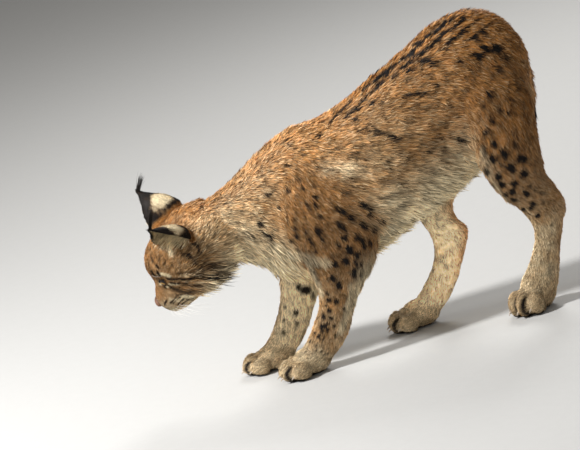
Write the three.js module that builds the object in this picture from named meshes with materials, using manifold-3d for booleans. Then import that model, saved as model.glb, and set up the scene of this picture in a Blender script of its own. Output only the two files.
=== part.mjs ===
// A Eurasian lynx at life size, standing with its forefeet set well forward and its head lowered.
// Millimetres, +Z up. The lynx faces -X and its left side is on -Y. The floor is at Z = 0.
import * as THREE from "three";
import { mergeVertices } from "three/addons/utils/BufferGeometryUtils.js";
import Module from "manifold-3d";

const wasm = await Module();
wasm.setup();

// Driving dimensions.
const GAP = 0.3; // clear space between touching pieces
const EYE_RADIUS = 11.5;
const LID_THICK = 1.8;
const EAR_LENGTH = 75;
const EAR_WALL = 4;
const HEAD_YAW = 15; // degrees, nose turned to the lynx's right
const HEAD_PITCH = 43; // degrees, nose down
const HEAD_ROLL = 24; // degrees, left cheek down
const HEAD_SCALE = 1.07;
const HEAD_CENTRE = new THREE.Vector3(-316, 0, 285);

// Colours of the coat and the bare parts.
const COLOURS = {
  rufous: 0xa9713f,
  buff: 0xbf9a6c,
  cream: 0xd9ccb2,
  black: 0x2a211b,
  amber: 0xb98a3c,
  nose: 0x8d5f4e,
};

// The trunk and neck, from the back of the skull to the buttocks.
const TRUNK = [
  { name: "skull base", front: [-318, 352], back: [-297, 262], y: 4, half: 40 },
  { name: "nape", front: [-272, 366], back: [-262, 246], y: 3, half: 50 },
  { name: "throat", front: [-222, 384], back: [-222, 237], y: 1, half: 53 },
  { name: "lower neck", front: [-164, 416], back: [-188, 222], y: 0, half: 60 },
  { name: "shoulder points", front: [-112, 445], back: [-162, 198], y: 0, half: 69, egg: -0.08 },
  { name: "withers", front: [-65, 462], back: [-120, 184], y: 0, half: 76, egg: -0.12 },
  { name: "chest", front: [-15, 465], back: [-57, 176], y: 0, half: 80, egg: -0.1 },
  { name: "girth", front: [40, 480], back: [20, 188], y: 0, half: 83, egg: -0.06 },
  { name: "back ribs", front: [107, 510], back: [83, 212], y: 0, half: 84, egg: -0.06 },
  { name: "loin", front: [175, 542], back: [145, 237], y: 0, half: 80, egg: -0.08 },
  { name: "flank", front: [238, 573], back: [206, 262], y: 0, half: 76, egg: -0.06 },
  { name: "hip", front: [296, 587], back: [256, 282], y: 0, half: 77, egg: -0.12 },
  { name: "croup", front: [347, 575], back: [296, 294], y: 0, half: 75, egg: -0.16 },
  { name: "rump", front: [380, 544], back: [326, 318], y: 0, half: 68, egg: -0.14 },
  { name: "buttock", front: [399, 499], back: [352, 358], y: 0, half: 52 },
  { name: "seat", front: [402, 456], back: [372, 400], y: 0, half: 26 },
];

// The legs, each from inside the trunk to inside its paw.
const LEFT_FORELEG = [
  { name: "scapula", front: [-94, 404], back: [-20, 384], y: -32, half: 20 },
  { name: "shoulder", front: [-132, 346], back: [16, 326], y: -51, half: 33 },
  { name: "upper arm", front: [-134, 266], back: [44, 254], y: -59, half: 35 },
  { name: "elbow", front: [-112, 196], back: [25, 190], y: -63, half: 31 },
  { name: "below elbow", front: [-104, 156], back: [-18, 136], y: -63, half: 27 },
  { name: "forearm", front: [-107, 130], back: [-42, 98], y: -62, half: 25 },
  { name: "mid forearm", front: [-125, 98], back: [-62, 62], y: -61, half: 24 },
  { name: "wrist", front: [-146, 68], back: [-86, 34], y: -59, half: 25 },
  { name: "hand", front: [-168, 46], back: [-110, 16], y: -58, half: 24 },
];
const RIGHT_FORELEG = [
  { name: "scapula", front: [-94, 404], back: [-20, 384], y: 32, half: 20 },
  { name: "shoulder", front: [-146, 340], back: [0, 318], y: 51, half: 33 },
  { name: "upper arm", front: [-160, 262], back: [-4, 236], y: 58, half: 35 },
  { name: "elbow", front: [-162, 202], back: [-52, 178], y: 60, half: 31 },
  { name: "below elbow", front: [-167, 164], back: [-90, 136], y: 60, half: 27 },
  { name: "forearm", front: [-177, 128], back: [-111, 98], y: 59, half: 25 },
  { name: "mid forearm", front: [-194, 93], back: [-135, 60], y: 58, half: 24 },
  { name: "wrist", front: [-216, 63], back: [-158, 32], y: 57, half: 25 },
  { name: "hand", front: [-238, 43], back: [-182, 14], y: 57, half: 24 },
];
const LEFT_HIND_LEG = [
  { name: "hip", front: [262, 508], back: [378, 474], y: -30, half: 28 },
  { name: "upper thigh", front: [246, 436], back: [391, 404], y: -46, half: 41 },
  { name: "thigh", front: [247, 352], back: [384, 334], y: -57, half: 42 },
  { name: "knee", front: [257, 284], back: [379, 292], y: -63, half: 37 },
  { name: "upper shank", front: [280, 231], back: [378, 258], y: -65, half: 31 },
  { name: "lower shank", front: [307, 195], back: [388, 226], y: -65, half: 26 },
  { name: "hock", front: [321, 163], back: [398, 190], y: -64, half: 24 },
  { name: "below hock", front: [320, 134], back: [384, 151], y: -63, half: 23 },
  { name: "metatarsus", front: [308, 108], back: [370, 113], y: -62, half: 23 },
  { name: "lower metatarsus", front: [292, 84], back: [358, 75], y: -61, half: 24 },
  { name: "foot", front: [275, 63], back: [345, 38], y: -61, half: 26 },
  { name: "in paw", front: [266, 36], back: [328, 18], y: -62, half: 22 },
];
const RIGHT_HIND_LEG = [
  { name: "hip", front: [252, 508], back: [366, 472], y: 30, half: 28 },
  { name: "upper thigh", front: [212, 440], back: [348, 394], y: 46, half: 41 },
  { name: "thigh", front: [168, 364], back: [290, 316], y: 56, half: 42 },
  { name: "knee", front: [128, 288], back: [228, 252], y: 61, half: 37 },
  { name: "upper shank", front: [114, 238], back: [198, 214], y: 62, half: 31 },
  { name: "lower shank", front: [122, 204], back: [197, 189], y: 62, half: 27 },
  { name: "hock", front: [133, 174], back: [212, 160], y: 62, half: 24 },
  { name: "below hock", front: [135, 144], back: [202, 132], y: 61, half: 23 },
  { name: "metatarsus", front: [126, 114], back: [184, 98], y: 60, half: 23 },
  { name: "lower metatarsus", front: [106, 86], back: [163, 64], y: 60, half: 24 },
  { name: "foot", front: [82, 60], back: [138, 34], y: 60, half: 25 },
  { name: "in paw", front: [62, 44], back: [116, 16], y: 60, half: 22 },
];
const TAIL = [
  { name: "root", front: [345, 516], back: [350, 462], y: 0, half: 24 },
  { name: "dock", front: [384, 496], back: [366, 452], y: 3, half: 23 },
  { name: "upper tail", front: [404, 452], back: [366, 430], y: 5, half: 21 },
  { name: "mid tail", front: [404, 404], back: [362, 400], y: 8, half: 20 },
  { name: "lower tail", front: [396, 362], back: [355, 366], y: 12, half: 20 },
  { name: "brush", front: [387, 334], back: [352, 340], y: 14, half: 17 },
  { name: "tip", front: [377, 321], back: [357, 325], y: 15, half: 8 },
];

// The head in its own frame: +X to the nose, +Y to the left, +Z to the crown. front is the upper line.
const HEAD = [
  { name: "muzzle tip", front: [114, -6], back: [112, -32], half: 13 },
  { name: "lips", front: [111, 1], back: [105, -47], half: 25, egg: -0.1 },
  { name: "whisker pads", front: [100, 10], back: [93, -58], half: 32, egg: -0.16 },
  { name: "chin", front: [86, 19], back: [79, -62], half: 35, egg: -0.18 },
  { name: "nose bridge", front: [72, 34], back: [65, -62], half: 41, egg: -0.14 },
  { name: "brow", front: [56, 53], back: [49, -63], half: 52, egg: -0.04 },
  { name: "forehead", front: [36, 65], back: [28, -67], half: 61, egg: 0 },
  { name: "cheekbones", front: [10, 70], back: [4, -73], half: 66, egg: -0.04 },
  { name: "jaw angle", front: [-18, 69], back: [-24, -77], half: 67, egg: -0.08 },
  { name: "ears", front: [-44, 62], back: [-50, -75], half: 64, egg: -0.08 },
  { name: "occiput", front: [-67, 47], back: [-72, -58], half: 54 },
  { name: "skull back", front: [-82, 24], back: [-84, -28], half: 32 },
];
// Swellings and hollows of the face: place, reach and height, mirrored to both sides.
const FACE_FORMS = [
  { name: "whisker pad", at: [101, 18, -20], reach: 17, height: 6 },
  { name: "brow ridge", at: [60, 30, 42], reach: 14, height: 4 },
  { name: "eye hollow", at: [69, 37, 19], reach: 17, height: -5 },
  { name: "cheek", at: [20, 58, -30], reach: 30, height: 5 },
  { name: "muzzle side", at: [78, 34, 0], reach: 16, height: -3 },
];
const EYE = { at: [56, 28, 19], look: [0.66, 0.72, 0.22], width: 22, height: 16, tilt: 22 };
const NOSE = [
  { name: "in muzzle", front: [98, 2], back: [98, -10], half: 8 },
  { name: "back", front: [109, 6], back: [105, -14], half: 12, egg: 0.15 },
  { name: "wings", front: [117, 3], back: [111, -17], half: 13, egg: 0.3 },
  { name: "front", front: [121, -3], back: [115, -15], half: 8, egg: 0.3 },
];
const EAR = { at: [-24, 43, 46], up: [-0.14, 0.42, 0.9], facing: 52 }; // facing is degrees out from ahead
const EAR_WIDTHS = [31, 36, 35, 31, 24, 15, 7, 1.8]; // half widths from the root to the tip
const EAR_HOLLOW = [0, 0.25, 0.8, 1, 1, 1, 0.9, 0.6]; // how far the cup is hollowed at each width
const EAR_DEPTH = 0.72; // depth of the cup as a share of its half width

// Paws: place of the middle of the sole, turn from straight ahead towards the left, and scales of the
// whole and of the height.
const PAWS = {
  left_front_paw: { at: [-160, -60], turn: 14, scale: 1, tall: 1.05 },
  right_front_paw: { at: [-225, 57], turn: -6, scale: 1 },
  left_hind_paw: { at: [290, -64], turn: 36, scale: 1, tall: 1.28 },
  right_hind_paw: { at: [66, 60], turn: 4, scale: 0.98, tall: 1.1 },
};
const PALM = { at: [-14, 0, 24], size: [42, 33, 29] };
const TOES = [
  { at: [16, -29, 17], size: [23, 14, 21] },
  { at: [31, -11, 18], size: [25, 14.5, 23] },
  { at: [31, 11, 18], size: [25, 14.5, 23] },
  { at: [16, 29, 17], size: [23, 14, 21] },
];

// Long fur in rows: stretch along the body, number on each side, place round the body as a share of half
// a turn from the upper line, length, half width, and the lie on the left side.
const RUFF = [
  { from: 0.6, to: 0.8, count: 5, turn: 0.54, length: 34, width: 9, lie: [-0.62, 0.12, -0.78] },
  { from: 0.46, to: 0.8, count: 7, turn: 0.64, length: 44, width: 9.5, lie: [-0.55, 0.14, -0.83] },
  { from: 0.3, to: 0.76, count: 6, turn: 0.78, length: 25, width: 9, lie: [-0.66, 0.05, -0.75] },
  { from: 0.22, to: 0.5, count: 3, turn: 0.92, length: 16, width: 8, lie: [-0.8, 0, -0.6] },
];
const UNDER_FUR = [
  { from: 0.27, to: 0.4, count: 4, turn: 0.76, length: 30, width: 11, lift: 0.2, lie: [0.35, -0.05, -0.94] },
  { from: 0.25, to: 0.42, count: 5, turn: 0.92, length: 32, width: 11, lift: 0.25, lie: [0.4, 0, -0.92] },
  { from: 0.5, to: 0.7, count: 5, turn: 0.82, length: 30, width: 13, lift: 0.12, lie: [0.86, 0.05, -0.5] },
  { from: 0.48, to: 0.74, count: 6, turn: 0.95, length: 34, width: 13, lift: 0.16, lie: [0.86, 0, -0.5] },
];
const TAIL_FUR = [{ from: 0.72, to: 0.93, count: 4, turn: 0.5, length: 24, width: 8, lie: [-0.1, 0.1, -0.98] }];
const EAR_TUFT = { length: 36, width: 4.2 };

// Thin cuts that part the trunk and the legs: a point on the cut, the cut's direction in the XZ plane.
const CUTS = {
  neck: { at: [-146, 0, 316], normal: [-0.93, 0, 0.36], radius: 190 },
  belly: { at: [62, 0, 342], normal: [0.9, 0, 0.43], radius: 230 },
  rump: { at: [226, 0, 415], normal: [0.88, 0, 0.47], radius: 230 },
};
const LEG_CUTS = {
  left_foreleg: [
    { at: [-62, -62, 176], normal: [0.35, 0, 0.94] },
    { at: [-117, -60, 50], normal: [0.5, 0, 0.86] },
  ],
  right_foreleg: [
    { at: [-126, 60, 170], normal: [0.3, 0, 0.95] },
    { at: [-188, 57, 47], normal: [0.5, 0, 0.86] },
  ],
  left_hind_leg: [
    { at: [324, -64, 262], normal: [-0.35, 0, 0.94] },
    { at: [360, -64, 175], normal: [-0.2, 0, 0.98] },
    { at: [316, -61, 52], normal: [0.3, 0, 0.95] },
  ],
  right_hind_leg: [
    { at: [172, 62, 246], normal: [0.1, 0, 0.99] },
    { at: [168, 62, 160], normal: [0, 0, 1] },
    { at: [108, 60, 48], normal: [0.4, 0, 0.92] },
  ],
};
const LEG_CUT_RADIUS = 78;

const vec = (a) => new THREE.Vector3(...a);

// The frame of the head: its axes turned by yaw, pitch and roll, then moved to its place.
const headFrame = (() => {
  const turn = new THREE.Euler().set(
    THREE.MathUtils.degToRad(-HEAD_ROLL),
    THREE.MathUtils.degToRad(HEAD_PITCH),
    THREE.MathUtils.degToRad(180 - HEAD_YAW),
    "ZYX",
  );
  const size = new THREE.Vector3(HEAD_SCALE, HEAD_SCALE, HEAD_SCALE);
  return new THREE.Matrix4().makeRotationFromEuler(turn).scale(size).setPosition(HEAD_CENTRE);
})();

// A closed mesh geometry as a solid, turned so that its faces point out.
function solidOf(geometry, matrix = new THREE.Matrix4()) {
  const bare = new THREE.BufferGeometry();
  bare.setAttribute("position", geometry.getAttribute("position").clone());
  if (geometry.index) bare.setIndex(geometry.index.clone());
  bare.applyMatrix4(matrix);
  const merged = mergeVertices(bare, 1e-4);
  const triVerts = new Uint32Array(merged.index.array);
  const vertProperties = new Float32Array(merged.attributes.position.array);
  const made = new wasm.Manifold(new wasm.Mesh({ numProp: 3, vertProperties, triVerts }));
  if (made.volume() > 0) return made;
  for (let i = 0; i < triVerts.length; i += 3)
    [triVerts[i + 1], triVerts[i + 2]] = [triVerts[i + 2], triVerts[i + 1]];
  return new wasm.Manifold(new wasm.Mesh({ numProp: 3, vertProperties, triVerts }));
}

// A grid of rings, each a list of points, closed round and closed at both ends by a fan.
function ringsToGeometry(rings) {
  const around = rings[0].length;
  const points = rings.flat();
  const index = [];
  for (let i = 0; i + 1 < rings.length; i++)
    for (let j = 0; j < around; j++) {
      const a = i * around + j;
      const b = i * around + ((j + 1) % around);
      index.push(a, b, a + around, b, b + around, a + around);
    }
  for (const [i, flip] of [[0, true], [rings.length - 1, false]]) {
    const middle = rings[i].reduce((sum, p) => sum.add(p), new THREE.Vector3()).divideScalar(around);
    points.push(middle);
    for (let j = 0; j < around; j++) {
      const a = i * around + j;
      const b = i * around + ((j + 1) % around);
      index.push(points.length - 1, flip ? b : a, flip ? a : b);
    }
  }
  return new THREE.BufferGeometry().setFromPoints(points).setIndex(index);
}

// A body through stations. at(t, angle) is the surface point t of the way along, angle 0 on the front
// line and half a turn on the back line. Each section is an oval in the plane of its front-to-back line
// and the Y axis, wider towards the front line where egg is above 0.
function tube(stations, forms = []) {
  const curve = (pick) => new THREE.CatmullRomCurve3(stations.map(pick), false, "centripetal");
  const front = curve((s) => new THREE.Vector3(s.front[0], s.y ?? 0, s.front[1]));
  const back = curve((s) => new THREE.Vector3(s.back[0], s.y ?? 0, s.back[1]));
  const girth = curve((s) => new THREE.Vector3(s.half, (s.egg ?? 0) * 100, 0));
  const middle = (t) => front.getPoint(t).add(back.getPoint(t)).multiplyScalar(0.5);
  const at = (t, angle, grow = 0) => {
    const [top, low, wide] = [front.getPoint(t), back.getPoint(t), girth.getPoint(t)];
    const centre = middle(t);
    const out = top.sub(low).multiplyScalar(0.5 * Math.cos(angle));
    out.y += wide.x * Math.sin(angle) * (1 + (wide.y / 100) * Math.cos(angle));
    const radius = out.length();
    const unit = out.clone().divideScalar(radius);
    const point = centre.clone().addScaledVector(unit, radius);
    let rise = 0;
    for (const form of forms)
      for (const side of [1, -1]) {
        const [x, y, z] = form.at;
        const away = point.distanceTo(new THREE.Vector3(x, side * y, z)) / form.reach;
        rise += form.height * Math.exp(-away * away);
      }
    return point.addScaledVector(unit, rise + grow);
  };
  const geometry = (around, along, grow = 0) => {
    const rings = [];
    for (let i = 0; i <= along; i++)
      rings.push(Array.from({ length: around }, (_, j) => at(i / along, (2 * Math.PI * j) / around, grow)));
    const ends = [middle(0).sub(middle(0.02)).setLength(grow), middle(1).sub(middle(0.98)).setLength(grow)];
    rings[0].forEach((p) => p.add(ends[0]));
    rings[along].forEach((p) => p.add(ends[1]));
    return ringsToGeometry(rings);
  };
  return { at, middle, geometry };
}

// An ovoid of the given half sizes about a point.
function ovoid(at, size, around = 12, along = 8) {
  return new THREE.SphereGeometry(1, around, along).scale(...size).translate(...at);
}

// A thin round plate square to a direction.
function plate({ at, normal, radius = LEG_CUT_RADIUS }) {
  const turn = new THREE.Quaternion().setFromUnitVectors(new THREE.Vector3(0, 1, 0), vec(normal).normalize());
  return solidOf(
    new THREE.CylinderGeometry(radius, radius, GAP, 12),
    new THREE.Matrix4().makeRotationFromQuaternion(turn).setPosition(vec(at)),
  );
}

const unionOf = (solids) => solids.reduce((sum, s) => sum.add(s));
const byVolume = (solid) => solid.decompose().sort((a, b) => b.volume() - a.volume());
const largest = (solid) => byVolume(solid)[0];

// Cuts a solid by plates and returns the pieces in order of a key, largest piece of each kept.
function partBy(solid, plates, key) {
  const cut = plates.reduce((rest, p) => rest.subtract(plate(p)), solid);
  const pieces = byVolume(cut).slice(0, plates.length + 1);
  const middleOf = (s) => {
    const { min, max } = s.boundingBox();
    return key([(min[0] + max[0]) / 2, (min[1] + max[1]) / 2, (min[2] + max[2]) / 2]);
  };
  return pieces.sort((a, b) => middleOf(a) - middleOf(b));
}

// One ear with its tuft: crescent sections from the root to the tip. side is 1 on the left.
function ear(side) {
  const up = new THREE.Vector3(EAR.up[0], side * EAR.up[1], EAR.up[2]).normalize();
  const facing = THREE.MathUtils.degToRad(EAR.facing);
  const open = new THREE.Vector3(Math.cos(facing), side * Math.sin(facing), 0);
  open.addScaledVector(up, -open.dot(up)).normalize();
  const across = new THREE.Vector3().crossVectors(up, open);
  const root = new THREE.Vector3(EAR.at[0], side * EAR.at[1], EAR.at[2]);
  const arc = THREE.MathUtils.degToRad(98);
  const rings = EAR_WIDTHS.map((width, i) => {
    const s = i / (EAR_WIDTHS.length - 1);
    const wall = THREE.MathUtils.lerp(EAR_WALL, 1.2, s);
    const centre = root.clone().addScaledVector(up, (s * 1.12 - 0.12) * EAR_LENGTH);
    const place = (a, w, d) =>
      centre.clone().addScaledVector(across, w * Math.sin(a)).addScaledVector(open, -d * Math.cos(a));
    const outer = [];
    for (let k = 0; k <= 8; k++)
      outer.push(place(-arc + (2 * arc * k) / 8, width, width * EAR_DEPTH));
    const inner = [];
    for (let k = 0; k <= 6; k++) {
      const a = Math.PI / 2 - (Math.PI * k) / 6;
      const w = Math.max(0.5, width - wall);
      inner.push(place(a, w, Math.max(0, width * EAR_DEPTH - wall) * EAR_HOLLOW[i]));
    }
    return [...outer, ...inner];
  });
  const cup = solidOf(ringsToGeometry(rings));
  const tufts = [[0, 1], [-0.16, 0.72], [0.16, 0.62]].map(([lean, share]) => {
    const lie = up.clone().add(new THREE.Vector3(-0.85, -0.35 * side, 0)).addScaledVector(across, lean).normalize();
    const tip = root.clone().addScaledVector(up, 0.85 * EAR_LENGTH).addScaledVector(open, -2);
    return solidOf(lock({ root: tip, out: open, lie, length: EAR_TUFT.length * share + 11, width: EAR_TUFT.width, sink: 1, lift: 0.03 }));
  });
  return unionOf([cup, ...tufts]).transform(headFrame.elements);
}

// A seeded source of numbers from 0 to 1.
function seeded(seed) {
  return () => {
    seed = (seed + 0x6d2b79f5) | 0;
    let t = Math.imul(seed ^ (seed >>> 15), 1 | seed);
    t = (t + Math.imul(t ^ (t >>> 7), 61 | t)) ^ t;
    return ((t ^ (t >>> 14)) >>> 0) / 4294967296;
  };
}

// A flat lock of fur that tapers to its tip. It is rooted under the surface whose outward direction is
// out, leaves at an angle, and bends over until it runs along lie.
function lock({ root, out, lie, length, width, sink = 7, lift = 0.35 }) {
  const start = root.clone().addScaledVector(out, -sink);
  const path = new THREE.QuadraticBezierCurve3(
    start,
    start.clone().addScaledVector(lie, 0.4 * length).addScaledVector(out, sink + lift * length),
    root.clone().addScaledVector(lie, length).addScaledVector(out, 0.3 * lift * length),
  );
  const across = new THREE.Vector3().crossVectors(out, lie).normalize();
  const rings = [[0, 0.8], [0.38, 1], [0.72, 0.62], [1, 0.09]].map(([s, share]) => {
    const centre = path.getPoint(s);
    const flat = new THREE.Vector3().crossVectors(across, path.getTangent(s)).normalize();
    const [w, h] = [share * width, share * width * 0.36];
    return [[w, 0], [0, h], [-w, 0], [0, -h]].map(([a, b]) =>
      centre.clone().addScaledVector(across, a).addScaledVector(flat, b),
    );
  });
  return ringsToGeometry(rings);
}

// Rows of locks over a tube, on both sides. The lie is a direction on the left side, and every place,
// length and width varies a little.
function lockRows(body, rows, seed) {
  const random = seeded(seed);
  const made = [];
  for (const { from, to, count, turn, length, width, lift, lie } of rows)
    for (const side of [1, -1])
      for (let k = 0; k < count; k++) {
        const s = count > 1 ? k / (count - 1) : 0.5;
        const t = THREE.MathUtils.lerp(from, to, s) + (random() - 0.5) * (0.5 * (to - from)) / count;
        const angle = side * Math.PI * (turn + (random() - 0.5) * 0.05);
        const root = body.at(t, angle);
        const out = root.clone().sub(body.middle(t)).normalize();
        const way = vec(lie).add(new THREE.Vector3(random() - 0.5, random() - 0.5, random() - 0.5).multiplyScalar(0.22));
        way.y *= side;
        way.addScaledVector(out, -way.dot(out) * 0.6).normalize();
        const swell = 0.8 + 0.45 * Math.sin(Math.PI * s) * (0.8 + 0.4 * random());
        const size = { length: length * swell, width: width * (0.85 + 0.3 * random()), lift };
        made.push(lock({ root, out, lie: way, ...size }));
      }
  return made;
}

// The lid, the eyeball and the opening between the lids, in the head's frame.
function eye(side) {
  const at = new THREE.Vector3(EYE.at[0], side * EYE.at[1], EYE.at[2]);
  const look = new THREE.Vector3(EYE.look[0], side * EYE.look[1], EYE.look[2]).normalize();
  const opening = new THREE.Shape();
  const [w, h] = [EYE.width / 2, EYE.height / 2];
  opening.moveTo(-w, 0);
  opening.quadraticCurveTo(0, h * 2, w, 0);
  opening.quadraticCurveTo(0, -h * 2, -w, 0);
  const slot = new THREE.ExtrudeGeometry(opening, { depth: 40, bevelEnabled: false, curveSegments: 6 });
  const turn = new THREE.Matrix4().lookAt(look, new THREE.Vector3(), new THREE.Vector3(0, 0, 1));
  const tilt = new THREE.Matrix4().makeRotationZ(THREE.MathUtils.degToRad(side * EYE.tilt));
  const frame = turn.multiply(tilt).setPosition(at);
  const ball = (radius) => new THREE.SphereGeometry(radius, 11, 8).applyMatrix4(frame);
  return { lid: ball(EYE_RADIUS + LID_THICK), ball: ball(EYE_RADIUS), socket: ball(EYE_RADIUS + GAP), slot: slot.applyMatrix4(frame) };
}

// A closed round cord of the given radius along points.
function cord(points, radius, steps, sides = 5) {
  const path = new THREE.CatmullRomCurve3(points);
  const { normals, binormals } = path.computeFrenetFrames(steps, false);
  const rings = [];
  for (let i = 0; i <= steps; i++)
    rings.push(
      Array.from({ length: sides }, (_, j) => {
        const a = (2 * Math.PI * j) / sides;
        const out = normals[i].clone().multiplyScalar(Math.cos(a)).addScaledVector(binormals[i], Math.sin(a));
        return path.getPointAt(i / steps).addScaledVector(out, radius);
      }),
    );
  return ringsToGeometry(rings);
}

// The groove between the lips, from under the nose back to a corner of the mouth.
function mouthLine(skull, side) {
  const path = [];
  for (let k = 0; k <= 6; k++) {
    const s = k / 6;
    const t = THREE.MathUtils.lerp(0.05, 0.34, s);
    path.push(skull.at(t, side * Math.PI * THREE.MathUtils.lerp(0.96, 0.68, Math.sqrt(s))));
  }
  return cord(path, 1.5, 10);
}

// A paw: palm and four toes, turned and set down on the floor.
function paw({ at, turn, scale, tall = 1 }) {
  const frame = new THREE.Matrix4()
    .makeRotationZ(THREE.MathUtils.degToRad(180 + turn))
    .scale(new THREE.Vector3(scale, scale, scale * tall))
    .setPosition(at[0], at[1], 0);
  const palm = solidOf(ovoid(PALM.at, PALM.size, 10, 7), frame);
  return unionOf([palm, ...TOES.map(({ at, size }) => solidOf(ovoid(at, size, 8, 6), frame))]);
}

// A leg as one solid with its paw, cut flat at the floor.
function leg(stations, pawPlace) {
  const floor = solidOf(new THREE.BoxGeometry(2000, 600, 100).translate(0, 0, -50));
  return solidOf(tube(stations).geometry(12, 14)).add(paw(pawPlace)).subtract(floor);
}

const solids = {};
const trunkTube = tube(TRUNK);
const trunkRoom = solidOf(trunkTube.geometry(20, 18, GAP));
const underFur = lockRows(trunkTube, UNDER_FUR, 11).map((g) => solidOf(g));
const trunk = unionOf([solidOf(trunkTube.geometry(20, 18)), ...underFur]);
const legs = {
  left_foreleg: leg(LEFT_FORELEG, PAWS.left_front_paw),
  right_foreleg: leg(RIGHT_FORELEG, PAWS.right_front_paw),
  left_hind_leg: leg(LEFT_HIND_LEG, PAWS.left_hind_paw),
  right_hind_leg: leg(RIGHT_HIND_LEG, PAWS.right_hind_paw),
};
const legRoom = unionOf(
  [LEFT_FORELEG, RIGHT_FORELEG, LEFT_HIND_LEG, RIGHT_HIND_LEG].map((s) => solidOf(tube(s).geometry(12, 14, GAP))),
);
const tailTube = tube(TAIL);
const tailFur = lockRows(tailTube, TAIL_FUR, 5).map((g) => solidOf(g));
const tail = largest(unionOf([solidOf(tailTube.geometry(10, 9)), ...tailFur]).subtract(legRoom));
const tailRoom = solidOf(tailTube.geometry(10, 9, GAP));

// The head, with pockets for the eyes, the nose and the ears.
const skull = tube(HEAD, FACE_FORMS);
const skullSolid = solidOf(skull.geometry(24, 18), headFrame);
const headRoom = solidOf(skull.geometry(24, 18, GAP), headFrame);
let head = skullSolid;
for (const side of [1, -1]) head = head.add(solidOf(eye(side).lid, headFrame));
for (const side of [1, -1]) {
  const name = side > 0 ? "left" : "right";
  const { ball, socket, slot } = eye(side);
  head = head.subtract(solidOf(slot, headFrame)).subtract(solidOf(socket, headFrame));
  head = head.subtract(solidOf(mouthLine(skull, side), headFrame));
  solids[name + "_eye"] = solidOf(ball, headFrame);
  solids[name + "_ear"] = largest(ear(side).subtract(headRoom));
}
const noseTube = tube(NOSE);
head = head.subtract(solidOf(noseTube.geometry(12, 6, GAP), headFrame));
let nose = solidOf(noseTube.geometry(12, 6), headFrame);
for (const side of [1, -1]) nose = nose.subtract(solidOf(ovoid([120, side * 6, -8], [5, 2.6, 3.2], 8, 6), headFrame));
solids.nose = nose;
const ruff = unionOf(lockRows(skull, RUFF, 7).map((g) => solidOf(g, headFrame)));
solids.head = largest(head.add(ruff.subtract(trunkRoom)));

// The trunk gives room to the legs, the tail and the head, and is parted across.
const [neck, chest, belly, rump] = partBy(
  trunk.subtract(legRoom).subtract(tailRoom).subtract(headRoom),
  [CUTS.neck, CUTS.belly, CUTS.rump],
  ([x]) => x,
);
Object.assign(solids, { neck, chest, belly, rump, tail });

// The legs are parted across at their joints, from the floor up.
const LEG_NAMES = {
  left_foreleg: ["left_front_paw", "left_forearm", "left_upper_arm"],
  right_foreleg: ["right_front_paw", "right_forearm", "right_upper_arm"],
  left_hind_leg: ["left_hind_paw", "left_hind_foot", "left_shank", "left_thigh"],
  right_hind_leg: ["right_hind_paw", "right_hind_foot", "right_shank", "right_thigh"],
};
for (const [name, whole] of Object.entries(legs)) {
  const pieces = partBy(whole, LEG_CUTS[name], ([, , z]) => z);
  LEG_NAMES[name].forEach((piece, i) => (solids[piece] = pieces[i]));
}

// Each solid becomes a named mesh with its own material.
const FINISH = {
  eye: { color: COLOURS.amber, roughness: 0.1 },
  nose: { color: COLOURS.nose, roughness: 0.5 },
  ear: { color: COLOURS.black, roughness: 0.9 },
  paw: { color: COLOURS.cream, roughness: 0.95 },
  foot: { color: COLOURS.cream, roughness: 0.95 },
  forearm: { color: COLOURS.buff, roughness: 0.95 },
  shank: { color: COLOURS.buff, roughness: 0.95 },
  coat: { color: COLOURS.rufous, roughness: 0.95 },
};
const lynx = new THREE.Group();
for (const [name, solid] of Object.entries(solids)) {
  const { vertProperties, triVerts, numProp } = solid.getMesh();
  const geometry = new THREE.BufferGeometry();
  geometry.setAttribute("position", new THREE.BufferAttribute(new Float32Array(vertProperties), numProp));
  geometry.setIndex(new THREE.BufferAttribute(new Uint32Array(triVerts), 1));
  geometry.computeVertexNormals();
  const finish = FINISH[name.split("_").pop()] ?? FINISH.coat;
  const mesh = new THREE.Mesh(geometry, new THREE.MeshStandardMaterial({ ...finish, metalness: 0 }));
  mesh.name = name;
  lynx.add(mesh);
}

// The origin is on the floor under the middle of the lynx's length and breadth.
const box = new THREE.Box3().setFromObject(lynx);
lynx.position.set(-(box.min.x + box.max.x) / 2, -(box.min.y + box.max.y) / 2, 0);

export default lynx;
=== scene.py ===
# A Eurasian lynx at life size: skin, fur, eyes, lids, nose, ears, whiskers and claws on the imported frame.
from functools import cache

import bpy
import numpy as np
from bpy.props import FloatProperty, FloatVectorProperty, IntProperty, PointerProperty
from mathutils import Matrix, Vector


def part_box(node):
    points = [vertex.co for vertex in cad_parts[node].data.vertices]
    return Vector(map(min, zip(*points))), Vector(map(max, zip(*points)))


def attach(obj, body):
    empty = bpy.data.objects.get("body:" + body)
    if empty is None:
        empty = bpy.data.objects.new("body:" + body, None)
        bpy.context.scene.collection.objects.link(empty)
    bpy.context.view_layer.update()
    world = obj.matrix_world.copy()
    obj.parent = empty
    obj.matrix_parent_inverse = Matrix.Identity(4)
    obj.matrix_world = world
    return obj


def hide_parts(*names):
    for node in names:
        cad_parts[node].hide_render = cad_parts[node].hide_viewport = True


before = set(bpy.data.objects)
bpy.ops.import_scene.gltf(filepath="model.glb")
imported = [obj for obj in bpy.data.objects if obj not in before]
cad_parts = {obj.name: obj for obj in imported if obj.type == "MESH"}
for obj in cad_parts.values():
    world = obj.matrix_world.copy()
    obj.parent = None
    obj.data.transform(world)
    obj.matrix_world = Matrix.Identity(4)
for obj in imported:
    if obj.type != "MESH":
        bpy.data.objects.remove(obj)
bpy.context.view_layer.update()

bl_info = {
    "name": "Eurasian lynx",
    "version": (1, 0, 0),
    "blender": (4, 5, 0),
    "location": "View3D > Sidebar > Lynx",
    "description": "Makes the skin, the coat and the small parts of a standing lynx round its solids",
    "category": "Add Mesh",
}

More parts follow.
